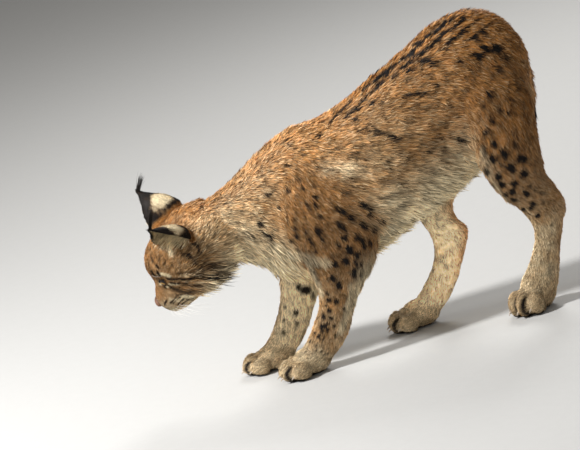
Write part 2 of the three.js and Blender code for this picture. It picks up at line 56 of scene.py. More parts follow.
# Shapes are worked out in millimetres in the maker's frame: the lynx faces -X, its left side is on -Y,
# +Z is up and the floor is at 0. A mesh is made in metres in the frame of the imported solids.
MM = 0.001

# Each body or leg is carried through stations: name, x and z of the front or upper line, x and z of the
# back or lower line, y, half width, and egg, which is how much wider the front half is.
TRUNK = [
    ("skull base", -318, 352, -297, 262, 4, 40, 0),
    ("nape", -272, 366, -262, 246, 3, 50, 0),
    ("throat", -222, 384, -222, 237, 1, 53, 0),
    ("lower neck", -164, 416, -188, 222, 0, 60, 0),
    ("shoulder points", -112, 445, -162, 198, 0, 69, -0.08),
    ("withers", -65, 462, -120, 184, 0, 76, -0.12),
    ("chest", -15, 465, -57, 176, 0, 80, -0.1),
    ("girth", 40, 480, 20, 188, 0, 83, -0.06),
    ("back ribs", 107, 510, 83, 212, 0, 84, -0.06),
    ("loin", 175, 542, 145, 237, 0, 80, -0.08),
    ("flank", 238, 573, 206, 262, 0, 76, -0.06),
    ("hip", 296, 587, 256, 282, 0, 77, -0.12),
    ("croup", 347, 575, 296, 294, 0, 75, -0.16),
    ("rump", 380, 544, 326, 318, 0, 68, -0.14),
    ("buttock", 399, 499, 352, 358, 0, 52, 0),
    ("seat", 402, 456, 372, 400, 0, 26, 0),
]
LEFT_FORELEG = [
    ("scapula", -94, 404, -20, 384, -32, 20, 0),
    ("shoulder", -132, 346, 16, 326, -51, 33, 0),
    ("upper arm", -134, 266, 44, 254, -59, 35, 0),
    ("elbow", -112, 196, 25, 190, -63, 31, 0),
    ("below elbow", -104, 156, -18, 136, -63, 27, 0),
    ("forearm", -107, 130, -42, 98, -62, 25, 0),
    ("mid forearm", -125, 98, -62, 62, -61, 24, 0),
    ("wrist", -146, 68, -86, 34, -59, 25, 0),
    ("hand", -168, 46, -110, 16, -58, 24, 0),
]
RIGHT_FORELEG = [
    ("scapula", -94, 404, -20, 384, 32, 20, 0),
    ("shoulder", -146, 340, 0, 318, 51, 33, 0),
    ("upper arm", -160, 262, -4, 236, 58, 35, 0),
    ("elbow", -162, 202, -52, 178, 60, 31, 0),
    ("below elbow", -167, 164, -90, 136, 60, 27, 0),
    ("forearm", -177, 128, -111, 98, 59, 25, 0),
    ("mid forearm", -194, 93, -135, 60, 58, 24, 0),
    ("wrist", -216, 63, -158, 32, 57, 25, 0),
    ("hand", -238, 43, -182, 14, 57, 24, 0),
]
LEFT_HIND_LEG = [
    ("hip", 262, 508, 378, 474, -30, 28, 0),
    ("upper thigh", 246, 436, 391, 404, -46, 41, 0),
    ("thigh", 247, 352, 384, 334, -57, 42, 0),
    ("knee", 257, 284, 379, 292, -63, 37, 0),
    ("upper shank", 280, 231, 378, 258, -65, 31, 0),
    ("lower shank", 307, 195, 388, 226, -65, 26, 0),
    ("hock", 321, 163, 398, 190, -64, 24, 0),
    ("below hock", 320, 134, 384, 151, -63, 23, 0),
    ("metatarsus", 308, 108, 370, 113, -62, 23, 0),
    ("lower metatarsus", 292, 84, 358, 75, -61, 24, 0),
    ("foot", 275, 63, 345, 38, -61, 26, 0),
    ("in paw", 266, 36, 328, 18, -62, 22, 0),
]
RIGHT_HIND_LEG = [
    ("hip", 252, 508, 366, 472, 30, 28, 0),
    ("upper thigh", 212, 440, 348, 394, 46, 41, 0),
    ("thigh", 168, 364, 290, 316, 56, 42, 0),
    ("knee", 128, 288, 228, 252, 61, 37, 0),
    ("upper shank", 114, 238, 198, 214, 62, 31, 0),
    ("lower shank", 122, 204, 197, 189, 62, 27, 0),
    ("hock", 133, 174, 212, 160, 62, 24, 0),
    ("below hock", 135, 144, 202, 132, 61, 23, 0),
    ("metatarsus", 126, 114, 184, 98, 60, 23, 0),
    ("lower metatarsus", 106, 86, 163, 64, 60, 24, 0),
    ("foot", 82, 60, 138, 34, 60, 25, 0),
    ("in paw", 62, 44, 116, 16, 60, 22, 0),
]
TAIL = [
    ("root", 345, 516, 350, 462, 0, 24, 0),
    ("dock", 384, 496, 366, 452, 3, 23, 0),
    ("upper tail", 404, 452, 366, 430, 5, 21, 0),
    ("mid tail", 404, 404, 362, 400, 8, 20, 0),
    ("lower tail", 396, 362, 355, 366, 12, 20, 0),
    ("brush", 387, 334, 352, 340, 14, 17, 0),
    ("tip", 377, 321, 357, 325, 15, 8, 0),
]
# The head in its own frame: +X to the nose, +Y to the left, +Z to the crown.
HEAD = [
    ("muzzle tip", 114, -6, 112, -32, 0, 13, 0),
    ("lips", 111, 1, 105, -47, 0, 25, -0.1),
    ("whisker pads", 100, 10, 93, -58, 0, 32, -0.16),
    ("chin", 86, 19, 79, -62, 0, 35, -0.18),
    ("nose bridge", 72, 34, 65, -62, 0, 41, -0.14),
    ("brow", 56, 53, 49, -63, 0, 52, -0.04),
    ("forehead", 36, 65, 28, -67, 0, 61, 0),
    ("cheekbones", 10, 70, 4, -73, 0, 66, -0.04),
    ("jaw angle", -18, 69, -24, -77, 0, 67, -0.08),
    ("ears", -44, 62, -50, -75, 0, 64, -0.08),
    ("occiput", -67, 47, -72, -58, 0, 54, 0),
    ("skull back", -82, 24, -84, -28, 0, 32, 0),
]
NOSE = [
    ("in muzzle", 98, 2, 98, -10, 0, 8, 0),
    ("back", 109, 6, 105, -14, 0, 12, 0.15),
    ("wings", 117, 3, 111, -17, 0, 13, 0.3),
    ("front", 121, -3, 115, -15, 0, 8, 0.3),
]
NOSTRILS = [((118.5, 6.5, -10), 4.6, -4.5), ((114.5, 10.5, -11.5), 3.8, -3.0)]
NOSE_DROP = 3.0  # how far the finished nose is lowered
# Swellings and hollows of the face, on both sides: place, reach and height.
FACE_FORMS = [
    ((101, 18, -20), 17, 6),  # whisker pad
    ((60, 30, 42), 14, 4),  # ridge over the eye
    ((69, 37, 19), 17, -5),  # socket
    ((20, 58, -30), 30, 5),  # cheek
    ((78, 34, 0), 16, -3),  # side of the bridge
    ((52, 22, 52), 20, 3.5),  # brow
    ((66, 8, 44), 16, 2.5),  # between the brows
    ((92, 8, -44), 18, -4),  # under the lower lip
]
HEAD_TURN = (-24, 43, 165)  # degrees about X, then Y, then Z
HEAD_SCALE = 1.07
HEAD_CENTRE = np.array([-316.0, 0.0, 285.0])

EYE_AT = np.array([56.0, 28.0, 19.0])  # middle of the left eye, in the head's frame
EYE_LOOK = np.array([0.66, 0.72, 0.22])  # the way its lids face
EYE_RADIUS = 11.5
CORNEA_RISE = 0.9
FACE_OVER_EYE = 0.9  # gap between the eyeball and the skin over it
EYE_TILT = 22  # degrees, outer corner up
GAZE = np.array([0.3, -0.05, -0.26])  # added to the way the lids face, for the way the eye looks
LID_OPENING = (10.6, 5.9, 5.0)  # half width, height above and below the middle
OPENING_DEPTH = 5  # how far the skin sinks into the eyeball inside the opening

EAR_AT = np.array([-24.0, 43.0, 46.0])  # root of the left ear, in the head's frame
EAR_UP = np.array([-0.14, 0.42, 0.9])
EAR_FACING = 52  # degrees out from ahead
EAR_LENGTH = 75
EAR_WIDTHS = [31, 36, 35, 31, 24, 15, 7, 1.8]  # half widths, from under the root to the tip
EAR_HOLLOW = [0, 0.25, 0.8, 1, 1, 1, 0.9, 0.6]  # how far the cup is open there, 1 down to its wall
EAR_DEPTH = 0.72  # depth of the cup against its half width
EAR_TUFT = np.array([-0.95, -0.3, 0.55])  # the way of the left ear's tuft
TUFT_HAIRS = 80
EAR_ARC = 98  # degrees to each side of the middle of the back
EAR_RINGS = 56
EAR_OUTSIDE, EAR_INSIDE = 40, 32  # points of a ring

# Paws: x and y of the middle of the sole, turn in degrees, scale and scale of the height.
PAWS = {
    "left_foreleg": (-160, -60, 14, 1, 1.05),
    "right_foreleg": (-225, 57, -6, 1, 1),
    "left_hind_leg": (290, -64, 36, 1, 1.28),
    "right_hind_leg": (66, 60, 4, 0.98, 1.1),
}
# Ovoids of a paw in its own frame, +X forwards: middle and half sizes.
PALM = ((-14, 0, 24), (42, 33, 29))
TOES = [
    ((16, -29, 17), (23, 14, 21)),
    ((31, -11, 18), (25, 14.5, 23)),
    ((31, 11, 18), (25, 14.5, 23)),
    ((16, 29, 17), (23, 14, 21)),
]
TOE_GAPS = (-20, 0, 20)  # across the paw
PAW_DEPTH = 3.2  # of the skin under the outline of the fur

CAMERA_AIM = np.array([-116.0, 0.0, 277.0])  # the middle of the view, in the maker's frame
CAMERA_RISE = 13  # degrees above the horizon
CAMERA_ROLL = 16  # degrees
SENSOR = 36.0  # millimetres
PHOTO_SIZE = (580, 450)
# Lamps: name, place in metres, share of the key light's power, and width in metres.
LAMPS = [
    ("key", (-2.1, -0.75, 2.6), 1, 0.4),
    ("side", (-0.6, -3.6, 1.3), 0.1, 2.0),
    ("front", (-2.7, 0.2, 0.9), 0.16, 0.8),
    ("back", (0.9, 2.6, 2.6), 0.4, 1.2),
]
LAMPS_AIM = np.array([-6.0, 0.0, 287.0])
SKY_TONE = (1.0, 0.98, 0.95, 1)
FLOOR_HALF = 15  # metres
FLOOR_BELOW = 0.0005  # metres under the paws


# Settings that a user would change.
def colour(name, description, value):
    """A colour property in linear light."""
    return FloatVectorProperty(
        name=name, description=description, default=value, size=3, min=0, max=1, subtype="COLOR"
    )


class LynxColours(bpy.types.PropertyGroup):
    """Colours of the coat and the bare parts."""

    rufous: colour("Rufous", "Warm brown of the back and the crown", (0.45, 0.177, 0.034))
    buff: colour("Buff", "Grey brown of the flanks and cheeks", (0.38, 0.222, 0.068))
    cream: colour("Cream", "Pale fur of the belly, throat and feet", (0.86, 0.73, 0.48))
    spots: colour("Spots", "Dark fur of the spots, stripes and ears", (0.012, 0.008, 0.006))
    hide: colour("Hide", "Bare skin of the lids, the lips and the pads", (0.03, 0.02, 0.017))
    nose: colour("Nose", "Leather of the nose", (0.2, 0.09, 0.045))
    iris: colour("Iris", "Ring of the eye", (0.36, 0.2, 0.045))
    claw: colour("Claw", "Horn of the claws", (0.55, 0.46, 0.36))
    whisker: colour("Whisker", "Whiskers and brow hairs", (0.85, 0.82, 0.76))
    floor: colour("Floor", "Floor of the stage", (0.5, 0.495, 0.48))


class LynxCoat(bpy.types.PropertyGroup):
    """Sizes of the skin and the coat."""

    voxel: FloatProperty(
        name="Skin grain", description="Edge of the skin's faces", default=0.004, min=0.002, max=0.02,
        unit="LENGTH",
    )
    fullness: FloatProperty(
        name="Fullness", description="Share of the full number of tufts", default=1, min=0.02, max=1,
        subtype="FACTOR",
    )
    length: FloatProperty(
        name="Length", description="Length of the fur against a summer coat", default=1, min=0.3, max=1.6
    )
    breadth: FloatProperty(
        name="Breadth", description="Breadth of the tufts against a fine coat", default=1, min=0.3, max=3
    )
    seed: IntProperty(name="Seed", description="Start of every random draw", default=7, min=0)


class LynxStage(bpy.types.PropertyGroup):
    """The camera and the lights."""

    distance: FloatProperty(
        name="Distance", description="From the camera to the lynx", default=9, min=2, max=40, unit="LENGTH"
    )
    width: FloatProperty(
        name="View width", description="Breadth of the view at the lynx", default=1.102, min=0.3, max=5,
        unit="LENGTH",
    )
    key: FloatProperty(
        name="Key light", description="Power of the large light", default=150, min=0, max=5000, unit="POWER"
    )
    sky: FloatProperty(
        name="Sky", description="Strength of the even light from all round", default=0.26, min=0, max=5
    )


# Shapes as whole arrays.
def unit(v):
    """Vectors of length one."""
    return v / np.maximum(np.linalg.norm(v, axis=-1, keepdims=True), 1e-9)


def dot(a, b):
    """Dot product over the last axis."""
    return np.sum(a * b, axis=-1)


def smooth(low, high, x):
    """0 below low, 1 above high, and 3s^2 - 2s^3 between them."""
    s = np.clip((x - low) / (high - low), 0, 1)
    return s * s * (3 - 2 * s)


def mix(a, b, share):
    """a where share is 0, b where it is 1, and in proportion between."""
    return a + (b - a) * share


def bump(x, middle, reach):
    """The bell exp(-((x - middle) / reach)^2)."""
    return np.exp(-(((x - middle) / reach) ** 2))


def circle(count):
    """Angles evenly round a whole turn, from 0."""
    return np.linspace(0, 2 * np.pi, count, endpoint=False)


def turning(axis, degrees):
    """The 3 by 3 matrix that turns by degrees about the axis named X, Y or Z."""
    return np.array(Matrix.Rotation(np.radians(degrees), 3, axis))


def draws(cells, seed):
    """A number from 0 to 1 for each whole-number cell: the cell's numbers are multiplied by large primes
    and their bits mixed."""
    c = cells.astype(np.uint64)
    x, y, z = (c[..., k] for k in range(3))
    mixed = x * np.uint64(73856093) ^ y * np.uint64(19349663) ^ z * np.uint64(83492791)
    mixed = (mixed ^ np.uint64(seed * 2654435761)) * np.uint64(0x9E3779B97F4A7C15)
    mixed = (mixed ^ (mixed >> np.uint64(29))) * np.uint64(0xBF58476D1CE4E5B9)
    return ((mixed >> np.uint64(40)) & np.uint64(0xFFFFFF)).astype(float) / 0xFFFFFF


def noise(points, size, seed):
    """Lumps about size across, from -1 to 1: each corner of a lattice of cubes has a seeded number, and
    the eight numbers round a point are blended by 3s^2 - 2s^3 along each axis."""
    place = np.asarray(points, float) / size
    low = np.floor(place).astype(np.int64)
    s = place - low
    s = s * s * (3 - 2 * s)
    total = 0
    for corner in np.ndindex(2, 2, 2):
        share = np.prod(np.where(corner, s, 1 - s), axis=-1)
        total = total + share * draws(low + np.array(corner) + 1000000, seed)
    return 2 * total - 1


def spline(points, t):
    """The centripetal Catmull-Rom curve through the rows of points, at the shares t of their number: a
    cubic between two rows, whose end slopes weigh the neighbours by the square root of their distance."""
    points = np.asarray(points, float)
    rows = np.vstack([2 * points[0] - points[1], points, 2 * points[-1] - points[-2]])
    place = np.clip(t, 0, 1) * (len(points) - 1)
    i = np.minimum(place.astype(int), len(points) - 2)
    s = (place - i)[..., None]
    a, b, c, d = (rows[i + k] for k in range(4))
    ab, bc, cd = (np.sqrt(np.linalg.norm(q - p, axis=-1, keepdims=True)) for p, q in ((a, b), (b, c), (c, d)))
    bc = np.where(bc < 1e-4, 1, bc)
    ab = np.where(ab < 1e-4, bc, ab)
    cd = np.where(cd < 1e-4, bc, cd)
    leave = ((b - a) / ab - (c - a) / (ab + bc) + (c - b) / bc) * bc
    arrive = ((c - b) / bc - (d - b) / (bc + cd) + (d - c) / cd) * bc
    return b + s * (leave + s * (3 * (c - b) - 2 * leave - arrive + s * (2 * (b - c) + leave + arrive)))


class Tube:
    """A body carried through stations. Its surface at (t, angle) is the middle of the front and back
    points, plus half the way between them times the cosine of the angle, plus the half width times the
    sine of the angle along Y, and then the forms' bells outwards."""

    def __init__(self, stations, forms=()):
        rows = np.array([s[1:] for s in stations], float)
        self.front = rows[:, [0, 4, 1]]
        self.back = rows[:, [2, 4, 3]]
        # The egg is kept a hundredfold, so that it weighs in the spline as a length does.
        self.girth = np.stack([rows[:, 5], rows[:, 6] * 100, np.zeros(len(rows))], axis=1)
        self.forms = forms

    def at(self, t, angle, grow=0.0):
        """The surface at t from 0 to 1 and angle from the front line, moved out by grow."""
        t, angle, grow = np.broadcast_arrays(np.asarray(t, float), angle, grow)
        top, low, wide = spline(self.front, t), spline(self.back, t), spline(self.girth, t)
        out = (top - low) / 2 * np.cos(angle)[..., None]
        out[..., 1] += wide[..., 0] * np.sin(angle) * (1 + wide[..., 1] / 100 * np.cos(angle))
        point = (top + low) / 2 + out
        rise = np.array(grow, float)
        for place, reach, height in self.forms:
            for side in (1, -1):
                away = np.linalg.norm(point - np.array(place) * (1, side, 1), axis=-1) / reach
                rise += height * np.exp(-away * away)
        return point + unit(out) * rise[..., None]

    def middle(self, t):
        """The middle line at t."""
        return (spline(self.front, t) + spline(self.back, t)) / 2

    def slopes(self, t, angle, grow=0.0):
        """How the surface moves with t and with the angle, by small steps both ways."""
        step = 0.004
        low, high = np.clip(t - step, 0, 1), np.clip(t + step, 0, 1)
        along = (self.at(high, angle, grow) - self.at(low, angle, grow)) / (high - low)[..., None]
        round_it = (self.at(t, angle + step, grow) - self.at(t, angle - step, grow)) / (2 * step)
        return along, round_it


def closed_grid(points):
    """Triangles of a grid of rings (rings, around, 3), closed round and capped by a fan at each end.
    Returns the points with the two middles added, and the triangles."""
    rings, around = points.shape[:2]
    flat = points.reshape(-1, 3)
    ends = [points[0].mean(axis=0), points[-1].mean(axis=0)]
    i = np.arange(rings - 1)[:, None] * around
    j = np.arange(around)[None]
    k = (j + 1) % around
    a, b, c, d = (x.ravel() for x in (i + j, i + k, i + k + around, i + j + around))
    first, last = len(flat), len(flat) + 1
    j, k = j.ravel(), k.ravel()
    caps = [
        np.stack([np.full(around, first), k, j], axis=1),
        np.stack([np.full(around, last), j + (rings - 1) * around, k + (rings - 1) * around], axis=1),
    ]
    faces = np.concatenate([np.stack([a, b, c], axis=1), np.stack([a, c, d], axis=1), *caps])
    flat = np.vstack([flat, *ends])
    return flat, faces if volume(flat, faces) > 0 else faces[:, ::-1]


def volume(points, faces):
    """The volume inside closed triangles, from the scalar triple products of their corners."""
    a, b, c = (points[faces[:, k]] for k in range(3))
    return dot(a, np.cross(b, c)).sum() / 6


def merged(*parts):
    """Points and triangles of several parts as one pair of arrays."""
    starts = np.cumsum([0] + [len(p) for p, _ in parts[:-1]])
    return np.vstack([p for p, _ in parts]), np.vstack([f + s for (_, f), s in zip(parts, starts)])


def spaced(count, low, high, *crowds):
    """count values from low to high, set closer about each crowd's middle: the running sum of
    1 + strength exp(-((x - middle) / reach)^2) is cut into equal steps."""
    x = np.linspace(low, high, 2001)
    thick = 1 + sum(strength * bump(x, middle, reach) for middle, reach, strength in crowds)
    run = np.concatenate([[0], np.cumsum((thick[1:] + thick[:-1]) / 2)])
    return np.interp(np.linspace(0, run[-1], count), run, x)


HEAD_AXES = turning("Z", HEAD_TURN[2]) @ turning("Y", HEAD_TURN[1]) @ turning("X", HEAD_TURN[0])


def from_head(points):
    """Points of the head's frame in the maker's frame."""
    return np.asarray(points) @ HEAD_AXES.T * HEAD_SCALE + HEAD_CENTRE


def to_head(points):
    """Points of the maker's frame in the head's frame."""
    return (np.asarray(points) - HEAD_CENTRE) @ HEAD_AXES / HEAD_SCALE


def shift_to_solids():
    """From the maker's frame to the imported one: what moves the left eye's middle to its solid's."""
    low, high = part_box("left_eye")
    move = np.array((low + high) / 2) / MM - from_head(EYE_AT)
    return move * (1, 1, 0)


SHIFT = shift_to_solids()


def metres(points):
    """Points of the maker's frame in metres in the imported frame."""
    return (np.asarray(points) + SHIFT) * MM


# Meshes, pieces and their materials.
def new_mesh(name, points, faces):
    """A mesh from points in the maker's frame and triangles."""
    mesh = bpy.data.meshes.new(name)
    mesh.vertices.add(len(points))
    mesh.vertices.foreach_set("co", metres(points).astype(np.float32).ravel())
    mesh.loops.add(faces.size)
    mesh.loops.foreach_set("vertex_index", faces.astype(np.int32).ravel())
    mesh.polygons.add(len(faces))
    mesh.polygons.foreach_set("loop_start", np.arange(0, faces.size, 3, dtype=np.int32))
    mesh.update(calc_edges=True)
    return mesh


def new_piece(name, points, faces, finish, replaced=(), marks=None):
    """A piece of the lynx that rides on its body, takes a material and stands for solids."""
    mesh = new_mesh(name, points, faces)
    mesh.polygons.foreach_set("use_smooth", np.full(len(faces), True))
    if marks is not None:
        mesh.attributes.new("marks", "FLOAT_COLOR", "POINT").data.foreach_set(
            "color", np.asarray(marks, np.float32).ravel()
        )
    mesh.materials.append(finish)
    piece = bpy.data.objects.new(name, mesh)
    bpy.context.scene.collection.objects.link(piece)
    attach(piece, "root")
    if replaced:
        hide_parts(*replaced)
    return piece


class Wire:
    """A socket whose arithmetic adds Math nodes."""

    def __init__(self, finish, socket):
        self.finish = finish
        self.socket = socket

    def _maths(self, operation, a, b):
        return self.finish.add("ShaderNodeMath", {"operation": operation}, {0: a, 1: b})

    def __add__(self, other):
        return self._maths("ADD", self, other)

    def __mul__(self, other):
        return self._maths("MULTIPLY", self, other)

    def __truediv__(self, other):
        return self._maths("DIVIDE", self, other)

    __radd__ = __add__
    __rmul__ = __mul__


class Finish:
    """A material that is put together from nodes."""

    def __init__(self, name):
        self.material = bpy.data.materials.new(name)
        self.material.use_nodes = True
        self.tree = self.material.node_tree
        self.tree.nodes.clear()

    def add(self, kind, settings=None, sockets=None, output=0):
        """Adds a node: first its settings, with "stops" for a ramp, then the values or links of its
        sockets. Returns the wire of one output."""
        node = self.tree.nodes.new(kind)
        for key, value in (settings or {}).items():
            if key == "stops":
                ramp = node.color_ramp.elements
                ramp[1].position, ramp[1].color = value[-1][0], (*value[-1][1], 1)
                ramp[0].position, ramp[0].color = value[0][0], (*value[0][1], 1)
                for place, shade in value[1:-1]:
                    ramp.new(place).color = (*shade, 1)
            else:
                setattr(node, key, value)
        for key, value in (sockets or {}).items():
            socket = node.inputs[key]
            if isinstance(value, Wire):
                self.tree.links.new(value.socket, socket)
            elif socket.type == "RGBA" and len(value) == 3:
                socket.default_value = (*value, 1)
            else:
                socket.default_value = value
        return Wire(self, node.outputs[output])

    def blend(self, a, b, share, how="MIX"):
        """Two colours mixed by a share."""
        settings = {"data_type": "RGBA", "blend_type": how}
        return self.add("ShaderNodeMix", settings, {0: share, 6: a, 7: b}, output=2)

    def marks(self):
        """The first three marks of each point as wires."""
        marks = self.add("ShaderNodeAttribute", {"attribute_name": "marks"}, output="Color")
        return [self.add("ShaderNodeSeparateColor", None, {0: marks}, output=k) for k in range(3)]

    def speckle(self, scale, detail):
        """Noise from 0 to 1 on the object's own coordinates, scale lumps to the metre."""
        place = self.add("ShaderNodeTexCoord", output="Object")
        sockets = {"Vector": place, "Scale": scale, "Detail": detail}
        return self.add("ShaderNodeTexNoise", None, sockets)

    def bump(self, height, distance):
        """A normal from a height of 0 to 1 times a distance in metres."""
        return self.add("ShaderNodeBump", None, {"Height": height, "Distance": distance, "Strength": 1.0})

    def done(self, base, **sockets):
        """Ends the material in one surface shader. Sockets are named with _ for a space."""
        named = {key.replace("_", " "): value for key, value in sockets.items()}
        shader = self.add("ShaderNodeBsdfPrincipled", None, {"Base Color": base, **named})
        output = self.tree.nodes.new("ShaderNodeOutputMaterial")
        self.tree.links.new(shader.socket, output.inputs["Surface"])
        return self.material


@cache
def coat_finish(name, is_skin=False):
    """Fur, or the skin under it. The marks of a point are dark, pale and warm, each from 0 to 1, and the
    fourth is how bright it is, which holds painted light and shade as well as the fur's own tone: warm goes
    from buff to rufous, pale to cream, and dark to the spots."""
    tones = bpy.context.scene.lynx_colours
    fur = Finish(name)
    dark, pale, warm = fur.marks()
    bright = fur.add("ShaderNodeAttribute", {"attribute_name": "marks"}, output="Alpha")
    grain = fur.speckle(900, 1)
    tone = fur.blend(tones.buff, tones.rufous, warm)
    tone = fur.blend(tone, tones.cream, pale)
    tone = fur.blend(tone, tones.spots, dark)
    gain = bright * (0.8 + 0.4 * grain)
    tone = fur.add("ShaderNodeVectorMath", {"operation": "SCALE"}, {0: tone, "Scale": gain})
    if is_skin:
        ridges = fur.bump(fur.speckle(500, 3), 0.0012)
        return fur.done(tone, Roughness=0.85, Specular_IOR_Level=0.12, Normal=ridges)
    return fur.done(tone, Roughness=0.56, Specular_IOR_Level=0.18)


# The skin as arrays, with the coat's values at each of its points.
def point_normals(points, faces):
    """The normal of each point: the sum of its triangles' cross products, made one long."""
    a, b, c = (points[faces[:, k]] for k in range(3))
    cross = np.cross(b - a, c - a)
    index = faces.ravel()
    total = [np.bincount(index, np.repeat(cross[:, k], 3), len(points)) for k in range(3)]
    return unit(np.stack(total, axis=1))


def spread(values, faces, times):
    """Values evened out over the mesh: each is moved half way to its neighbours' mean, a few times."""
    pairs = np.vstack([faces[:, [0, 1]], faces[:, [1, 2]], faces[:, [2, 0]]])
    many = np.bincount(pairs[:, 0], minlength=len(values)) + np.bincount(pairs[:, 1], minlength=len(values))
    flat = values.reshape(len(values), -1)
    for _ in range(times):
        means = []
        for column in flat.T:
            total = np.bincount(pairs[:, 0], column[pairs[:, 1]], len(values))
            total += np.bincount(pairs[:, 1], column[pairs[:, 0]], len(values))
            means.append(total / np.maximum(many, 1))
        flat = (flat + np.stack(means, axis=1)) / 2
    return flat.reshape(values.shape)


class Surface:
    """Part of the skin: points and triangles in the maker's frame, and fields, which are arrays with a
    value for each point: the fur's lie, length, width, lift and brightness, which holds painted light and
    shade, how dense it is in tufts to the square millimetre, its marks, and part, the row of places that
    holds the point's t and angle."""

    def __init__(self, points, faces):
        self.points = points
        self.faces = faces
        self.normals = point_normals(points, faces)
        self.fields = {}

    def along_fur(self, share):
        """Each point moved along the lie by a share of the fur's length, to where its tuft shows."""
        return self.points + self.fields["lie"] * (share * self.fields["length"])[:, None]

    def lay(self, lie, times=0):
        """Keeps the lie of the fur as directions in the surface."""
        if times:
            lie = spread(lie, self.faces, times)
        self.fields["lie"] = unit(lie - self.normals * dot(lie, self.normals)[:, None])


def place_on(tube, points, depth):
    """For each point, the t and angle of the nearest place on a tube that is sunk by depth(t, angle), and
    the way from that place to the point: the nearest of a coarse net, then two steps of least squares."""
    t, angle = np.meshgrid(np.linspace(0, 1, 49), np.linspace(-np.pi, np.pi, 33)[:-1], indexing="ij")
    t, angle = t.ravel(), angle.ravel()
    net = tube.at(t, angle, -depth(t, angle))
    nearest = np.zeros(len(points), int)
    for start in range(0, len(points), 4096):
        some = points[start:start + 4096]
        nearest[start:start + 4096] = np.argmin(dot(net, net)[None] - 2 * some @ net.T, axis=1)
    t, angle = t[nearest], angle[nearest]
    for _ in range(2):
        sunk = -depth(t, angle)
        gap = points - tube.at(t, angle, sunk)
        along, round_it = tube.slopes(t, angle, sunk)
        tt, ta, aa = dot(along, along), dot(along, round_it), dot(round_it, round_it)
        gt, ga = dot(gap, along), dot(gap, round_it)
        whole = np.maximum(tt * aa - ta * ta, 1e-6)
        t = np.clip(t + np.clip((gt * aa - ga * ta) / whole, -0.03, 0.03), 0, 1)
        angle = angle + np.clip((ga * tt - gt * ta) / whole, -0.3, 0.3)
    angle = (angle + np.pi) % (2 * np.pi) - np.pi
    return t, angle, points - tube.at(t, angle, -depth(t, angle)), unit(along)


def rows_at(rows, t):
    """The columns of a table, read between its rows at t, which is the first column."""
    table = np.array(rows, float)
    return [np.interp(t, table[:, 0], table[:, k]) for k in range(1, table.shape[1])]


def round_body(turn, top, side, low):
    """Top, side and low values blended by the share of half a turn from the upper line."""
    upper = mix(top, side, smooth(0, 0.5, turn))
    lower = mix(side, low, smooth(0.5, 0.85, turn))
    return np.where(turn < 0.5, upper, lower)


# The coat of the trunk: t, then pale at the top, the side and below, then warm likewise.
# The paler sides of the neck, at t 0 and 0.13, are partly painted light.
TRUNK_TONES = [
    (0.0, 0.1, 0.4, 0.85, 0.95, 0.5, 0.3),
    (0.13, 0.12, 0.45, 0.88, 0.9, 0.5, 0.3),
    (0.27, 0.12, 0.16, 0.8, 0.85, 0.75, 0.3),
    (0.4, 0.1, 0.12, 0.85, 0.9, 0.7, 0.3),
    (0.5, 0.04, 0.24, 0.95, 1.0, 0.6, 0.2),
    (0.6, 0.03, 0.14, 0.92, 1.0, 0.75, 0.3),
    (0.73, 0.02, 0.06, 0.8, 1.0, 0.95, 0.4),
    (0.86, 0.02, 0.06, 0.6, 1.0, 0.9, 0.5),
    (1.0, 0.1, 0.1, 0.4, 1.0, 0.9, 0.6),
]
# t, then the length of the fur at the top, the side and below.
TRUNK_FUR = [
    (0.0, 13, 17, 24),
    (0.2, 14, 19, 30),
    (0.33, 13, 16, 34),
    (0.5, 15, 20, 32),
    (0.65, 15, 20, 32),
    (0.8, 15, 17, 22),
    (1.0, 15, 16, 18),
]
# t, pale outside, pale inside, warm, length in front and behind.
FORELEG_COAT = [
    (0.0, 0.05, 0.5, 1.0, 14, 16),
    (0.12, 0.05, 0.6, 1.0, 13, 16),
    (0.25, 0.08, 0.85, 0.9, 12, 20),
    (0.38, 0.12, 0.92, 0.8, 10, 20),
    (0.5, 0.14, 0.92, 0.7, 8, 14),
    (0.63, 0.18, 0.88, 0.65, 7.5, 11),
    (0.75, 0.2, 0.85, 0.65, 7, 10),
    (0.88, 0.32, 0.8, 0.55, 7, 9),
    (1.0, 0.55, 0.75, 0.5, 7, 8),
]
HIND_LEG_COAT = [
    (0.0, 0.03, 0.3, 1.0, 15, 15),
    (0.1, 0.03, 0.6, 1.0, 15, 16),
    (0.2, 0.05, 0.8, 0.95, 14, 17),
    (0.28, 0.12, 0.9, 0.9, 12, 16),
    (0.37, 0.2, 0.92, 0.8, 10, 13),
    (0.46, 0.28, 0.92, 0.7, 9, 11),
    (0.56, 0.38, 0.88, 0.6, 8, 10),
    (0.7, 0.48, 0.85, 0.5, 8, 9),
    (0.85, 0.52, 0.8, 0.5, 7.5, 8),
    (1.0, 0.55, 0.75, 0.5, 7, 7),
]
PARTS = {
    "trunk": Tube(TRUNK),
    "left_foreleg": Tube(LEFT_FORELEG),
    "right_foreleg": Tube(RIGHT_FORELEG),
    "left_hind_leg": Tube(LEFT_HIND_LEG),
    "right_hind_leg": Tube(RIGHT_HIND_LEG),
    "tail": Tube(TAIL),
}
# Rows of the arrays that hold a value of each part, in the order of PARTS, with the paws last.
TRUNK_ROW, LEG_ROWS, LEFT_HIND_ROW, RIGHT_HIND_ROW, TAIL_ROW, PAW_ROW = 0, slice(1, 5), 3, 4, 5, 6
OUTER = {name: -1 if name.startswith("left") else 1 for name in PARTS}  # the outer side's sign along Y
HEAD_TUBE = Tube(HEAD, FACE_FORMS)

PART_REACH = 9  # how far a part's coat carries over to the next
TAIL_COAT = (18, 0.12, 0.9)  # length, pale and warm
PAW_COAT = (6.5, 0.5, 0.5)
SKIN_RISE = 0.6  # lowest height of the skin
TUFT_RISE = 0.3  # lowest height of a tuft
ROOTS_RISE = 1.5  # lower faces, which are the soles, bear no fur


